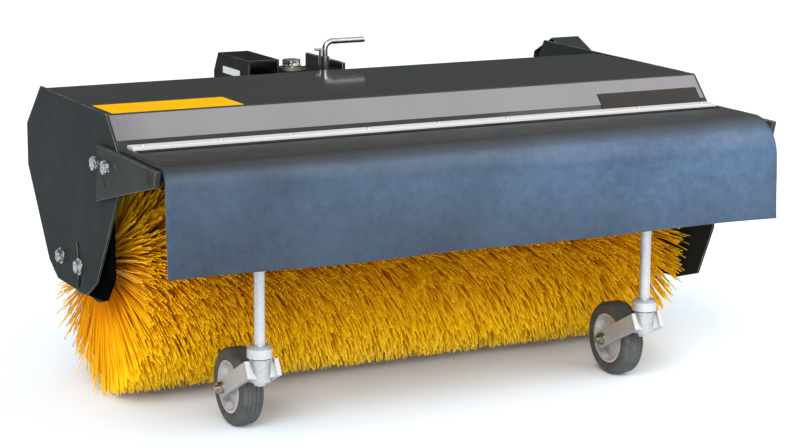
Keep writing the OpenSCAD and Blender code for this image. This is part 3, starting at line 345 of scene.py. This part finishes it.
# The clamp strip: a bar of bright rolled aluminium that holds the rear edge of the flap down on
# the hood's lip, with a row of small plated screws.
STRIP_DARK = 0.62
STRIP_LIGHT = 0.72
STRIP_METALLIC = 0.3
STRIP_ROUGH = 0.4
STRIP_STREAKS = (3, 300, 300)
SPANGLE_SCALE = 260.0
SPANGLE_SHARE = 0.35
strip_metal, strip_shader = blank_finish("strip_aluminium")
strip_streaks = noise(strip_metal, surface_coords(strip_metal, STRIP_STREAKS), scale=4.0)
strip_tone = ramp(strip_metal, strip_streaks, ((0.25, STRIP_DARK), (0.75, STRIP_LIGHT)))
join(strip_metal, strip_tone, strip_shader.inputs["Base Color"])
strip_shader.inputs["Metallic"].default_value = STRIP_METALLIC
strip_shader.inputs["Roughness"].default_value = STRIP_ROUGH
dress("clamp_strip", strip_metal, edge=0.0006)


def plated(name, dark, light, rough, metallic=1.0):
    """Bare or plated metal between two shades, with a faint spangle and an uneven gloss."""
    finish, shader = blank_finish(name)
    place = surface_coords(finish)
    cells = add_node(finish, "ShaderNodeTexVoronoi")
    cells.inputs["Scale"].default_value = SPANGLE_SCALE
    join(finish, place, cells.inputs["Vector"])
    tone = mix(finish, SPANGLE_SHARE, noise(finish, place, scale=30.0), cells.outputs["Color"])
    join(finish, ramp(finish, tone, ((0.25, dark), (0.75, light))), shader.inputs["Base Color"])
    shader.inputs["Metallic"].default_value = metallic
    spread = noise(finish, place, scale=60.0)
    gloss = ramp(finish, spread, ((0.3, rough - 0.07), (0.7, rough + 0.08)))
    join(finish, gloss, shader.inputs["Roughness"])
    return finish


screw_steel = plated(
    "screw_steel", dark=(0.34, 0.33, 0.32), light=(0.56, 0.55, 0.54), rough=0.4, metallic=0.5)
dress("strip_screws", screw_steel, edge=0.0004)

# Bolts in the arms and the bearing bracket, and the screws of the chain case: hexagon heads of
# bright steel, with tool marks that make their shine uneven.
bolt_steel = plated("bolt_steel", dark=(0.16, 0.16, 0.16), light=(0.62, 0.62, 0.62), rough=0.22)
bolt_shader = bolt_steel.node_tree.nodes["Principled BSDF"]
bolt_marks = noise(bolt_steel, surface_coords(bolt_steel), scale=210.0, detail=3.0)
bump(bolt_steel, bolt_shader, bolt_marks, strength=0.9, depth=0.004)
for shiny in ("arm_bolts", "bracket_bolts", "case_screws"):
    dress(shiny, bolt_steel, edge=0.0008)

# Three plain patches of thin painted sheet, stuck on: a yellow one on the hood's top, a dark one
# on the silver band and a white one on the side of the hitch channel.
FOLD_Y = -0.170
FOLD_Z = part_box("hood")[1][2]
HOOD_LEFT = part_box("hood")[0][0]
HOOD_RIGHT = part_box("hood")[1][0]
SLOPE_DOWN = Vector((0, -0.047, -0.050)).normalized()
SLOPE_OUT = Vector((0, -0.050, 0.047)).normalized()
PATCH_ROUND = 0.4
PATCH_THICK = 0.0004
PAINT_SHADE = 0.88


def patch(name, corner, across, along, out, thick, finish):
    """A thin plate with rounded edges, from a corner along two edges, raised by thick."""
    bpy.ops.object.select_all(action="DESELECT")
    bpy.ops.mesh.primitive_cube_add(size=1)
    piece = bpy.context.object
    piece.name = name
    corner, across, along, out = (Vector(v) for v in (corner, across, along, out))
    for point in piece.data.vertices:
        share = point.co + Vector((0.5, 0.5, 0.5))
        point.co = corner + across * share.x + along * share.y + out * (thick * share.z)
    bpy.ops.object.mode_set(mode="EDIT")
    bpy.ops.mesh.normals_make_consistent(inside=False)
    bpy.ops.object.mode_set(mode="OBJECT")
    rounding = piece.modifiers.new("soft_edge", "BEVEL")
    rounding.width = PATCH_ROUND * thick
    rounding.segments = 2
    bpy.ops.object.modifier_apply(modifier="soft_edge")
    piece.data.materials.append(finish)
    return piece


def plain_paint(name, colour, rough, specular=0.4):
    """A smooth paint with a slight change of shade over its surface."""
    finish, shader = blank_finish(name)
    place = surface_coords(finish)
    shade = tuple(PAINT_SHADE * c for c in colour)
    tone = ramp(finish, noise(finish, place, scale=22.0), ((0.3, shade), (0.7, colour)))
    join(finish, tone, shader.inputs["Base Color"])
    shader.inputs["Roughness"].default_value = rough
    shader.inputs["Specular IOR Level"].default_value = specular
    skin = noise(finish, place, scale=180.0, detail=2.0)
    bump(finish, shader, skin, strength=0.12, depth=0.0003)
    return finish


NOTICE_WIDE = 0.211
NOTICE_DEEP = 0.086
NOTICE_INSET = 0.007
NOTICE_BACK = 0.003
notice_yellow = plain_paint("notice_yellow", (0.80, 0.41, 0.002), rough=0.5, specular=0.02)
notice_corner = (HOOD_LEFT + NOTICE_INSET, FOLD_Y + NOTICE_BACK, FOLD_Z)
notice = patch(
    "plain_yellow_patch", notice_corner, (NOTICE_WIDE, 0, 0), (0, NOTICE_DEEP, 0), (0, 0, 1),
    PATCH_THICK, notice_yellow)
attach(notice, "frame")

PANEL_WIDE = 0.193
PANEL_TOP = 0.0275
PANEL_DEEP = 0.030
PANEL_INSET = 0.008
PANEL_THICK = 0.0005
BAND_THICK = 0.0008
panel_dark = plain_paint("panel_dark", (0.030, 0.027, 0.024), rough=0.5, specular=0.1)
panel_corner = Vector((HOOD_RIGHT - PANEL_INSET - PANEL_WIDE, FOLD_Y, FOLD_Z))
panel_corner += SLOPE_DOWN * PANEL_TOP + SLOPE_OUT * BAND_THICK
panel = patch(
    "plain_dark_panel", panel_corner, (PANEL_WIDE, 0, 0), SLOPE_DOWN * PANEL_DEEP, SLOPE_OUT,
    PANEL_THICK, panel_dark)
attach(panel, "frame")

LABEL_LONG = 0.075
LABEL_TALL = 0.012
LABEL_BACK = 0.038
LABEL_DROP = 0.033
channel_low, channel_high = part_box("hitch_channel")
label_white = plain_paint("label_white", (0.74, 0.74, 0.73), rough=0.5)
label_corner = (channel_low[0], channel_low[1] + LABEL_BACK, channel_high[2] - LABEL_DROP)
label = patch(
    "plain_white_patch", label_corner, (0, LABEL_LONG, 0), (0, 0, LABEL_TALL), (-1, 0, 0),
    PATCH_THICK, label_white)
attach(label, "hitch_head")

# The flap: a sheet of black rubber, 6 mm thick, held at its rear edge under the strip. It lies
# on the front beam, bends over it and hangs down, with painted highlight and painted shade on its
# face.
FLAP_THICK = 0.006
FLAP_LEAN = 0.004
FLAP_CELLS_WIDE = 150
FLAP_CELLS_LONG = 90
BEND_LEFT = 0.027
BEND_RIGHT = 0.060
LONG_WAVE = 0.0022
SHORT_WAVE = 0.0012
BEND_WAVE = 0.0012
CUT_EDGE = 0.0008
CUT_ANGLE = math.radians(60)
SMOOTH_ANGLE = math.radians(40)
flap_low, flap_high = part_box("rubber_flap")
bpy.ops.object.select_all(action="DESELECT")
bpy.ops.mesh.primitive_grid_add(
    x_subdivisions=FLAP_CELLS_WIDE, y_subdivisions=FLAP_CELLS_LONG, size=2)
flap = bpy.context.object
flap.name = "flap_sheet"
flap_grid = np.empty(len(flap.data.vertices) * 3)
flap.data.vertices.foreach_get("co", flap_grid)
flap_grid = flap_grid.reshape(-1, 3)
share_x = (flap_grid[:, 0] + 1) / 2
share_y = (flap_grid[:, 1] + 1) / 2
flap_x = flap_low[0] + share_x * (flap_high[0] - flap_low[0])
back_y = flap_high[1]
front_y = flap_low[1] + FLAP_LEAN + FLAP_THICK / 2
top_z = flap_high[2] - FLAP_THICK / 2
bend = BEND_LEFT + (BEND_RIGHT - BEND_LEFT) * share_x
flat_part = back_y - front_y - bend
bend_part = bend * math.pi / 2
drop_part = top_z - bend - flap_low[2]
run = share_y * (flat_part + bend_part + drop_part)
turn = np.clip((run - flat_part) / bend, 0, math.pi / 2)
fall = np.clip(run - flat_part - bend_part, 0, None)
flap_y = back_y - np.minimum(run, flat_part) - bend * np.sin(turn) - FLAP_LEAN * fall / drop_part
flap_z = top_z - bend * (1 - np.cos(turn)) - fall
slack = np.clip(fall / drop_part, 0, 1)
ripple = LONG_WAVE * np.sin(9.0 * share_x + 0.8)
ripple += SHORT_WAVE * np.sin(23.0 * share_x + 2.0 + 3.0 * slack)
flap_y += ripple * slack
flap_z += BEND_WAVE * np.sin(15.0 * share_x + 1.0) * np.sin(turn)
flap.data.vertices.foreach_set("co", np.column_stack((flap_x, flap_y, flap_z)).ravel())
flap.data.update()
bpy.ops.object.mode_set(mode="EDIT")
bpy.ops.mesh.select_all(action="SELECT")
bpy.ops.mesh.normals_make_consistent(inside=False)
bpy.ops.object.mode_set(mode="OBJECT")
thicken = flap.modifiers.new("thickness", "SOLIDIFY")
thicken.thickness = FLAP_THICK
thicken.offset = 0.0
bpy.ops.object.modifier_apply(modifier="thickness")
flap_edge = flap.modifiers.new("cut_edge", "BEVEL")
flap_edge.width = CUT_EDGE
flap_edge.segments = 2
flap_edge.limit_method = "ANGLE"
flap_edge.angle_limit = CUT_ANGLE
bpy.ops.object.modifier_apply(modifier="cut_edge")
bpy.ops.object.shade_smooth_by_angle(angle=SMOOTH_ANGLE)

# The flap's rubber: blue-grey and mottled where it hangs, with a painted highlight on the bend and
# painted light growing to the right; darker towards the bottom, and nearly black on top as painted
# shade.
BLUE_DARK = (0.024, 0.055, 0.107)
BLUE_LIGHT = (0.059, 0.109, 0.188)
# The flat top: nearly black, which is painted shade.
TOP_DARK = (0.018, 0.021, 0.023)
TOP_LIGHT = (0.032, 0.035, 0.036)
# Over the height of the hang: a painted highlight on the bend, and darker towards the bottom.
BEND_HIGHLIGHT_UP = ((0.0, 0.60), (0.40, 0.86), (0.66, 1.0), (0.84, 0.94), (1.0, 0.8))
# Painted light along the hang, growing towards the right end.
RIGHTWARD_LIGHT = ((0.0, 0.52), (0.50, 0.66), (0.85, 1.0), (1.0, 0.96))
# Painted light on the top, growing to the right.
RIGHTWARD_TOP_LIGHT = ((0.0, 0.10), (0.50, 0.50), (1.0, 1.0))
FLAP_GLOSS = ((0.3, 0.36), (0.7, 0.5))
FLAP_SPECULAR = 0.5
TOP_BELOW = 0.016
TOP_ABOVE = 0.001
flap_finish, flap_shader = blank_finish("flap_rubber")
flap_place = surface_coords(flap_finish)
flap_broad = noise(flap_finish, flap_place, scale=8.0, detail=6.0)
flap_fine = noise(flap_finish, flap_place, scale=70.0, detail=6.0, rough=0.75)
flap_cloud = mix(flap_finish, 0.5, flap_broad, flap_fine)
flap_axes = axes(flap_finish, flap_place)
flap_up = span(flap_finish, flap_axes["Z"], flap_low[2], flap_high[2])
flap_along = span(flap_finish, flap_axes["X"], flap_low[0], flap_high[0])
flap_rise = span(flap_finish, flap_axes["Z"], top_z - TOP_BELOW, top_z + TOP_ABOVE)
flap_blue = ramp(flap_finish, flap_cloud, ((0.38, BLUE_DARK), (0.62, BLUE_LIGHT)))
# Painted highlight on the bend, darker towards the bottom.
flap_bend_highlight = ramp(flap_finish, flap_up, BEND_HIGHLIGHT_UP)
flap_blue = mix(flap_finish, 1.0, flap_blue, flap_bend_highlight, "MULTIPLY")
# Painted light, growing towards the right end.
flap_rightward_light = ramp(flap_finish, flap_along, RIGHTWARD_LIGHT)
flap_blue = mix(flap_finish, 1.0, flap_blue, flap_rightward_light, "MULTIPLY")
# Painted shade on the flat top, lightened to the right by painted light.
flap_shaded_top = ramp(flap_finish, flap_cloud, ((0.3, TOP_DARK), (0.7, TOP_LIGHT)))
flap_top_rightward_light = ramp(flap_finish, flap_along, RIGHTWARD_TOP_LIGHT)
flap_shaded_top = mix(flap_finish, 1.0, flap_shaded_top, flap_top_rightward_light, "MULTIPLY")
flap_tone = mix(flap_finish, flap_rise, flap_blue, flap_shaded_top)
join(flap_finish, flap_tone, flap_shader.inputs["Base Color"])
flap_gloss = ramp(flap_finish, noise(flap_finish, flap_place, scale=14.0, detail=5.0), FLAP_GLOSS)
join(flap_finish, flap_gloss, flap_shader.inputs["Roughness"])
flap_shader.inputs["Specular IOR Level"].default_value = FLAP_SPECULAR
flap_skin = noise(flap_finish, flap_place, scale=420.0, detail=3.0)
bump(flap_finish, flap_shader, flap_skin, strength=0.2, depth=0.0004)
flap.data.materials.append(flap_finish)
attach(flap, "frame")
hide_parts("rubber_flap")

# A thin black sheet along the clamp strip's front edge, lying on the flap: painted shadow, for
# the shade under the strip's front edge.
SHADOW_STRIP_WIDE = 0.016
SHADOW_STRIP_TALL = 0.0009
SHADOW_STRIP_INSET = 0.004
strip_low, strip_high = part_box("clamp_strip")
shadow_strip_long = strip_high[0] - strip_low[0] - 2 * SHADOW_STRIP_INSET
shadow_strip_corner = (strip_low[0] + SHADOW_STRIP_INSET, strip_low[1] - SHADOW_STRIP_WIDE, flap_high[2])
# Near-black coat for the painted shadow under the strip.
shadow_strip_black = coat(
    "shadow_strip_black", (0.003, 0.003, 0.003), (0.02, 0.02, 0.02), rough=0.7, specular=0.1, peel=0.8)
shadow_strip = patch(
    "strip_painted_shadow", shadow_strip_corner, (shadow_strip_long, 0, 0), (0, SHADOW_STRIP_WIDE, 0), (0, 0, 1), SHADOW_STRIP_TALL,
    shadow_strip_black)
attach(shadow_strip, "frame")

# Marks on the arms: a narrow black line behind the bolts, which is painted shade for the slot there,
# and a rough spot near the tip where the coat was ground off after welding and painted over.
SLOT_SHADE_WIDE = 0.0018
SLOT_SHADE_THICK = 0.0002
SLOT_SHADE_TOP = Vector((0, -0.1694, 0.3982))
SLOT_SHADE_RUN = Vector((0, -0.0140, -0.0255))
SPOT_CORNER = Vector((0, -0.374, 0.4075))
SPOT_LONG = 0.022
SPOT_TALL = 0.019
SPOT_THICK = 0.0003
# Near-black sheet: painted shade standing in for the slot's dark inside.
slot_shade_black = coat(
    "slot_shade_black", (0.003, 0.003, 0.003), (0.008, 0.008, 0.008), rough=0.6, specular=0.05, peel=0.3)
ground_spot = coat(
    "ground_spot", (0.004, 0.004, 0.004), (0.075, 0.076, 0.074), rough=0.6, specular=0.1, peel=1.0)
slot_shade_across = SLOT_SHADE_RUN.cross(Vector((1, 0, 0))).normalized() * SLOT_SHADE_WIDE
for side, outward in (("left", -1), ("right", 1)):
    arm_low, arm_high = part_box("support_arm_" + side)
    face = Vector((arm_low[0] if outward < 0 else arm_high[0], 0, 0))
    out = (outward, 0, 0)
    slot_shade = patch(
        "arm_slot_shade_" + side, face + SLOT_SHADE_TOP, SLOT_SHADE_RUN, slot_shade_across, out, SLOT_SHADE_THICK, slot_shade_black)
    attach(slot_shade, "frame")
    spot = patch(
        "arm_spot_" + side, face + SPOT_CORNER, (0, SPOT_LONG, 0), (0, 0, SPOT_TALL), out,
        SPOT_THICK, ground_spot)
    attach(spot, "frame")

# Casters: a plain round leg in a sleeve with pinch screws, a turned swivel housing, a fork of
# folded plate, and a small wheel with a solid rubber tyre on a pressed rim. The metal is
# zinc-plated, with a yellow tint on the axle bolts.
RUBBER_DARK = (0.040, 0.041, 0.041)
RUBBER_LIGHT = (0.088, 0.089, 0.088)
RUBBER_ROUGH = 0.62
zinc = plated(
    "zinc_plate", dark=(0.46, 0.46, 0.47), light=(0.59, 0.59, 0.60), rough=0.33, metallic=0.5)
fork_zinc = plated(
    "fork_zinc", dark=(0.38, 0.38, 0.39), light=(0.50, 0.50, 0.51), rough=0.36, metallic=0.5)
yellow_zinc = plated("yellow_zinc", dark=(0.26, 0.23, 0.18), light=(0.46, 0.42, 0.34), rough=0.32)
rim_zinc = plated(
    "rim_zinc", dark=(0.50, 0.50, 0.51), light=(0.68, 0.68, 0.69), rough=0.38, metallic=0.7)
dress("clamp_screws", zinc, edge=0.0006)
for side in ("left", "right"):
    dress("caster_leg_" + side, zinc, edge=0.0006)
    dress("caster_fork_" + side, fork_zinc, edge=0.0007)
    dress("swivel_nut_" + side, zinc, edge=0.0008)
    dress("wheel_rim_" + side, rim_zinc, edge=0.0004)
    dress("axle_bolt_" + side, yellow_zinc, edge=0.0008)
rubber, rubber_shader = blank_finish("tyre_rubber")
rubber_place = surface_coords(rubber)
rubber_dust = noise(rubber, rubber_place, scale=55.0, detail=6.0, rough=0.65)
rubber_tone = ramp(rubber, rubber_dust, ((0.35, RUBBER_DARK), (0.72, RUBBER_LIGHT)))
join(rubber, rubber_tone, rubber_shader.inputs["Base Color"])
rubber_shader.inputs["Roughness"].default_value = RUBBER_ROUGH
rubber_skin = noise(rubber, rubber_place, scale=900.0, detail=2.0)
bump(rubber, rubber_shader, rubber_skin, strength=0.25, depth=0.0003)


def turned(name, profile, centre, steps):
    """A piece turned on a lathe about X: profile holds (x, radius) points from centre."""
    bpy.ops.object.select_all(action="DESELECT")
    bpy.ops.mesh.primitive_plane_add(size=0.01)
    piece = bpy.context.object
    piece.name = name
    centre = Vector(centre)
    bpy.ops.object.mode_set(mode="EDIT")
    bpy.ops.mesh.merge(type="CENTER")
    start = centre + Vector((profile[0][0], 0, profile[0][1]))
    bpy.ops.transform.translate(value=start)
    for before, after in zip(profile, profile[1:]):
        step = (after[0] - before[0], 0, after[1] - before[1])
        bpy.ops.mesh.extrude_region_move(TRANSFORM_OT_translate={"value": step})
    bpy.ops.mesh.select_all(action="SELECT")
    bpy.ops.mesh.spin(steps=steps, angle=2 * math.pi, center=centre, axis=(1, 0, 0))
    bpy.ops.mesh.select_all(action="SELECT")
    bpy.ops.mesh.remove_doubles(threshold=0.000005)
    bpy.ops.mesh.normals_make_consistent(inside=False)
    bpy.ops.object.mode_set(mode="OBJECT")
    bpy.ops.object.shade_smooth_by_angle(angle=SMOOTH_ANGLE)
    return piece


# The tyre's cross-section: points up the side wall from the rim, each as far in from the side and
# out from the rim, then points over the shoulder, as far in from the side and down from the tread.
WALL_FOOT = ((0.0030, 0.0), (0.0008, 0.0016), (0.0, 0.0050))
WALL_TOP = ((0.0002, 0.0070), (0.0012, 0.0040), (0.0032, 0.0016), (0.0060, 0.0003))
GROOVE_DEEP = 0.0007
GROOVE_HALF = 0.0005
GROOVE_SIDE = 0.0004
GROOVES = (-0.0100, -0.0035, 0.0035, 0.0100)
RIM_GAP = 0.0002
TYRE_STEPS = 72
for side in ("left", "right"):
    low, high = (np.array(corner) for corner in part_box("tyre_" + side))
    rim_low, rim_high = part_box("wheel_rim_" + side)
    hub = (low + high) / 2
    half = (high[0] - low[0]) / 2
    outer = (high[2] - low[2]) / 2
    seat = (rim_high[2] - rim_low[2]) / 2 + RIM_GAP
    tread = []
    for groove in GROOVES:
        tread += [
            (groove - GROOVE_HALF - GROOVE_SIDE, outer), (groove - GROOVE_HALF, outer - GROOVE_DEEP),
            (groove + GROOVE_HALF, outer - GROOVE_DEEP), (groove + GROOVE_HALF + GROOVE_SIDE, outer)]
    wall = [(half - inward, seat + up) for inward, up in WALL_FOOT]
    wall += [(half - inward, outer - down) for inward, down in WALL_TOP]
    profile = [(-x, r) for x, r in wall] + tread + wall[::-1]
    profile.append(profile[0])
    tyre = turned("tyre_ring_" + side, profile, hub, TYRE_STEPS)
    tyre.data.materials.append(rubber)
    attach(tyre, "wheel_" + side)
    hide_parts("tyre_" + side)

# The brush's shaft, core and bearings: a steel shaft through a black tube, in cast-iron flange
# bearings. The bracket behind the left plate holds one of them; it is black, and darker still
# as painted shade, for it sits in shadow behind the plate.
black = coat(
    "black_coat", (0.006, 0.007, 0.007), (0.011, 0.012, 0.012), rough=0.45, specular=0.03, peel=0.2)
steel = plated("machined_steel", dark=(0.30, 0.30, 0.31), light=(0.48, 0.48, 0.49), rough=0.34)
cast_iron = coat(
    "cast_iron", (0.045, 0.045, 0.047), (0.075, 0.074, 0.073), rough=0.6, specular=0.3, peel=0.6)
# Near-black with no shine: painted shade on the bracket, darker than the black coat.
bracket_shade_black = coat(
    "bracket_shade_black", (0.0018, 0.0018, 0.0018), (0.003, 0.003, 0.003), rough=0.5, specular=0.0,
    peel=0.2)
dress("bearing_bracket", bracket_shade_black, edge=0.0009)
dress("brush_core", black, edge=0.0015)
dress("brush_shaft", steel, edge=0.0008)
for bearing in ("brush_bearing_left", "brush_bearing_right", "cross_bearing"):
    dress(bearing, cast_iron, edge=0.0012)

# The bristles: two rolls of yellow plastic strands, set in tufts in rings along the core. They
# are swept back a little by use, stray in the middle, and lean outwards at the right end.
STRAND_PARTS = 3
STRAND_THICK = 0.0013
STRAND_THIN = 0.00105
bpy.ops.object.select_all(action="DESELECT")
bpy.ops.mesh.primitive_circle_add(vertices=3, radius=STRAND_THICK, fill_type="NGON")
strand = bpy.context.object
bpy.ops.object.mode_set(mode="EDIT")
bpy.ops.mesh.select_all(action="SELECT")
narrowing = (STRAND_THIN / STRAND_THICK) ** (1 / STRAND_PARTS)
for part in range(STRAND_PARTS):
    bpy.ops.mesh.extrude_region_move(TRANSFORM_OT_translate={"value": (0, 0, 1 / STRAND_PARTS)})
    bpy.ops.transform.resize(value=(narrowing, narrowing, 1))
bpy.ops.object.mode_set(mode="OBJECT")
strand_points = np.empty(len(strand.data.vertices) * 3)
strand.data.vertices.foreach_get("co", strand_points)
strand_points = strand_points.reshape(-1, 3)
strand_faces = [tuple(face.vertices) for face in strand.data.polygons if face.center.z > 0.01]
bpy.data.objects.remove(strand)

# The strands' plastic: deep orange-yellow at the root and paler at the tip, as painted shade inside
# the roll and painted light at the tips, with every strand a little lighter or darker. The attribute
# holds that in red, and the way to the tip in green.
# Root to tip: painted shade at the root, painted light at the tip.
ROOT_TO_TIP = (
    (0.0, (0.97, 0.40, 0.004)), (0.45, (1.0, 0.50, 0.003)), (0.8, (1.0, 0.56, 0.003)),
    (1.0, (1.0, 0.66, 0.008)))
STRAND_SHADES = ((0.0, (0.84, 0.72, 0.6)), (0.45, (0.99, 0.97, 0.95)), (1.0, 1.0))
BRISTLE_ROUGH = 0.4
BRISTLE_SPECULAR = 0.3
BRISTLE_SHEEN = 0.6
SHEEN_ROUGH = 0.6
SHEEN_TINT = (1.0, 0.5, 0.01, 1)
bristle, bristle_shader = blank_finish("bristle")
bristle_tone = add_node(bristle, "ShaderNodeAttribute", attribute_name="tone")
bristle_split = add_node(bristle, "ShaderNodeSeparateColor")
join(bristle, bristle_tone.outputs["Color"], bristle_split.inputs[0])
# Painted shade at the root and painted light at the tip.
bristle_along = ramp(bristle, bristle_split.outputs["Green"], ROOT_TO_TIP)
bristle_shade = ramp(bristle, bristle_split.outputs["Red"], STRAND_SHADES)
bristle_colour = mix(bristle, 1.0, bristle_along, bristle_shade, "MULTIPLY")
join(bristle, bristle_colour, bristle_shader.inputs["Base Color"])
bristle_shader.inputs["Roughness"].default_value = BRISTLE_ROUGH
bristle_shader.inputs["Specular IOR Level"].default_value = BRISTLE_SPECULAR
bristle_shader.inputs["Sheen Weight"].default_value = BRISTLE_SHEEN
bristle_shader.inputs["Sheen Roughness"].default_value = SHEEN_ROUGH
bristle_shader.inputs["Sheen Tint"].default_value = SHEEN_TINT

# How the strands stand: counts, then lengths in metres and angles in radians. A spread is the
# usual departure of one tuft or strand from its neighbours.
RING_COUNT = 34
TUFTS_ROUND = 24
TUFT_STRANDS = 40
PIECES = 8
END_LEFT = 0.012
END_RIGHT = 0.014
ROOT_SINK = 0.001
TIP_CLEAR = 0.0006
SWEEP_MIDDLE = 0.16
SWEEP_ENDS = 0.05
SWEEP_POWER = 5
LEAN_LEFT = 0.003
LEAN_RIGHT = 0.024
LEAN_POWER = 9
BOW_BACK = 0.05
BOW_SPREAD = 0.005
BOW_ASIDE = 0.004
TUFT_TURN = 0.02
TUFT_TILT = 0.006
ROOT_TURN = 0.13
ROOT_ASIDE = 0.010
TIP_TURN = 0.04
TIP_ASIDE = 0.008
STRAY_SHARE = 0.35
STRAY_TURN = 0.10
STRAY_TURN_SPREAD = 0.10
STRAY_ASIDE = 0.010
STRAY_ASIDE_SPREAD = 0.020
SHORT_SPREAD = 0.007
BROKEN_OVER = 0.96
BROKEN_LOSS = 0.02
STRAND_TONE = 0.8
TUFT_TONE = 0.2
rolls_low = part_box("brush_core")[0]
rolls_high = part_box("brush_core")[1]
axis_y = (rolls_low[1] + rolls_high[1]) / 2
axis_z = (rolls_low[2] + rolls_high[2]) / 2
root_radius = (rolls_high[2] - rolls_low[2]) / 2 - ROOT_SINK
tip_radius = axis_z - TIP_CLEAR


def round_axis(x, radius, angle):
    """Points at a place along the brush's axis, at a radius and an angle about it."""
    return np.column_stack((x, axis_y + radius * np.cos(angle), axis_z + radius * np.sin(angle)))


rng = np.random.default_rng(7)
ring_places = np.linspace(rolls_low[0] + END_LEFT, rolls_high[0] - END_RIGHT, RING_COUNT)
tuft_shape = (RING_COUNT, TUFTS_ROUND)
stride = len(strand_points)
for number, rings in enumerate(np.array_split(np.arange(RING_COUNT), PIECES)):
    ring, tuft, _ = np.meshgrid(
        rings, np.arange(TUFTS_ROUND), np.arange(TUFT_STRANDS), indexing="ij")
    ring = ring.ravel()
    tuft = tuft.ravel()
    count = len(ring)
    tuft_turn = rng.normal(0, TUFT_TURN, tuft_shape)[ring, tuft]
    tuft_tilt = rng.normal(0, TUFT_TILT, tuft_shape)[ring, tuft]
    tuft_tone = rng.random(tuft_shape)[ring, tuft]
    middle = 2 * math.pi * (tuft + 0.5 * (ring % 2)) / TUFTS_ROUND
    root_angle = middle + rng.uniform(-ROOT_TURN, ROOT_TURN, count)
    from_middle = 2 * ring / (RING_COUNT - 1) - 1
    inner = 1 - np.abs(from_middle) ** SWEEP_POWER
    at_end = np.abs(from_middle) ** LEAN_POWER
    sweep = SWEEP_ENDS + (SWEEP_MIDDLE - SWEEP_ENDS) * inner
    tip_angle = root_angle + sweep + tuft_turn + rng.normal(0, TIP_TURN, count)
    root_x = ring_places[ring] + rng.uniform(-ROOT_ASIDE, ROOT_ASIDE, count)
    lean = np.where(from_middle > 0, LEAN_RIGHT, LEAN_LEFT) * at_end
    tip_x = root_x + lean + tuft_tilt * (1 - at_end) + rng.normal(0, TIP_ASIDE, count)
    stray = (rng.random(count) < STRAY_SHARE) * inner
    tip_angle += stray * rng.normal(STRAY_TURN, STRAY_TURN_SPREAD, count)
    tip_x += stray * rng.normal(STRAY_ASIDE, STRAY_ASIDE_SPREAD, count)
    reach = tip_radius - np.abs(rng.normal(0, SHORT_SPREAD, count))
    reach -= BROKEN_LOSS * (rng.random(count) > BROKEN_OVER)
    root = round_axis(root_x, root_radius, root_angle)
    tip = round_axis(tip_x, reach, tip_angle)
    round_way = np.column_stack((np.zeros(count), -np.sin(middle), np.cos(middle)))
    bow_out = rng.normal(0.0, BOW_SPREAD, count) - BOW_BACK * sweep
    bow = (root + tip) / 2 + round_way * bow_out[:, None]
    bow[:, 0] += rng.normal(0, BOW_ASIDE, count)
    step = strand_points[:, 2][None, :, None]
    path = (1 - step) ** 2 * root[:, None]
    path = path + 2 * step * (1 - step) * bow[:, None]
    path = path + step ** 2 * tip[:, None]
    wide = strand_points[:, 0][None, :, None] * np.array((1.0, 0, 0))
    deep = strand_points[:, 1][None, :, None] * round_way[:, None]
    points = (path + wide + deep).reshape(-1, 3)
    faces = [tuple(stride * i + v for v in face) for i in range(count) for face in strand_faces]
    mesh = bpy.data.meshes.new("bristles_%d" % number)
    mesh.from_pydata(points, [], faces)
    tone = np.ones((count, stride, 4))
    tone[:, :, 0] = (STRAND_TONE * rng.random(count) + TUFT_TONE * tuft_tone)[:, None]
    tone[:, :, 1] = strand_points[:, 2][None, :]
    mesh.attributes.new("tone", "FLOAT_COLOR", "POINT").data.foreach_set("color", tone.ravel())
    mesh.materials.append(bristle)
    bristles = bpy.data.objects.new("bristles_%d" % number, mesh)
    bpy.context.scene.collection.objects.link(bristles)
    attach(bristles, "brush")
    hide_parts("bristle_roll_left" if number < PIECES / 2 else "bristle_roll_right")

# The drive: a bevel gearbox behind the hood, a cross shaft under a plastic guard, and a chain
# in the case on the right plate. Castings are bare aluminium, and turned parts oiled steel.
cast_aluminium = plated(
    "cast_aluminium", dark=(0.34, 0.34, 0.345), light=(0.46, 0.46, 0.465), rough=0.5, metallic=0.8)
guard_plastic = plain_paint("guard_plastic", (0.018, 0.018, 0.019), rough=0.5)
dress("gearbox_housing", cast_aluminium, edge=0.0030)
dress("gearbox_cover", cast_aluminium, edge=0.0012)
dress("gearbox_screws", zinc, edge=0.0006)
dress("shaft_guard", guard_plastic, edge=0.0010)
for inside in ("input_shaft", "input_bevel_gear", "cross_shaft", "cross_bevel_gear"):
    dress(inside, steel, edge=0.0004)
for inside in ("brush_sprocket", "drive_sprocket", "drive_chain"):
    dress(inside, steel)

# The hitch: a turntable on the hitch post, with a plate that turns on the king bolt and carries
# the channel, cheek and bolting flange, all in black-coated steel. A bent lever of bright steel
# locks it at an angle.
chrome = plated("dark_chrome", dark=(0.30, 0.30, 0.31), light=(0.46, 0.46, 0.48), rough=0.2)
washer_metal = plated("washer_metal", dark=(0.09, 0.08, 0.065), light=(0.27, 0.23, 0.18), rough=0.42)
for welded in ("turntable_base", "swivel_plate", "hitch_channel", "hitch_cheek", "hitch_flange"):
    dress(welded, black, edge=0.0010, worn=charcoal_edge)
for bolt in ("king_bolt", "king_nut"):
    dress(bolt, bolt_steel, edge=0.0014)
dress("king_washers", washer_metal, edge=0.0006)
for bright in ("lever_sleeve", "clamp_lever"):
    dress(bright, chrome, edge=0.0006)
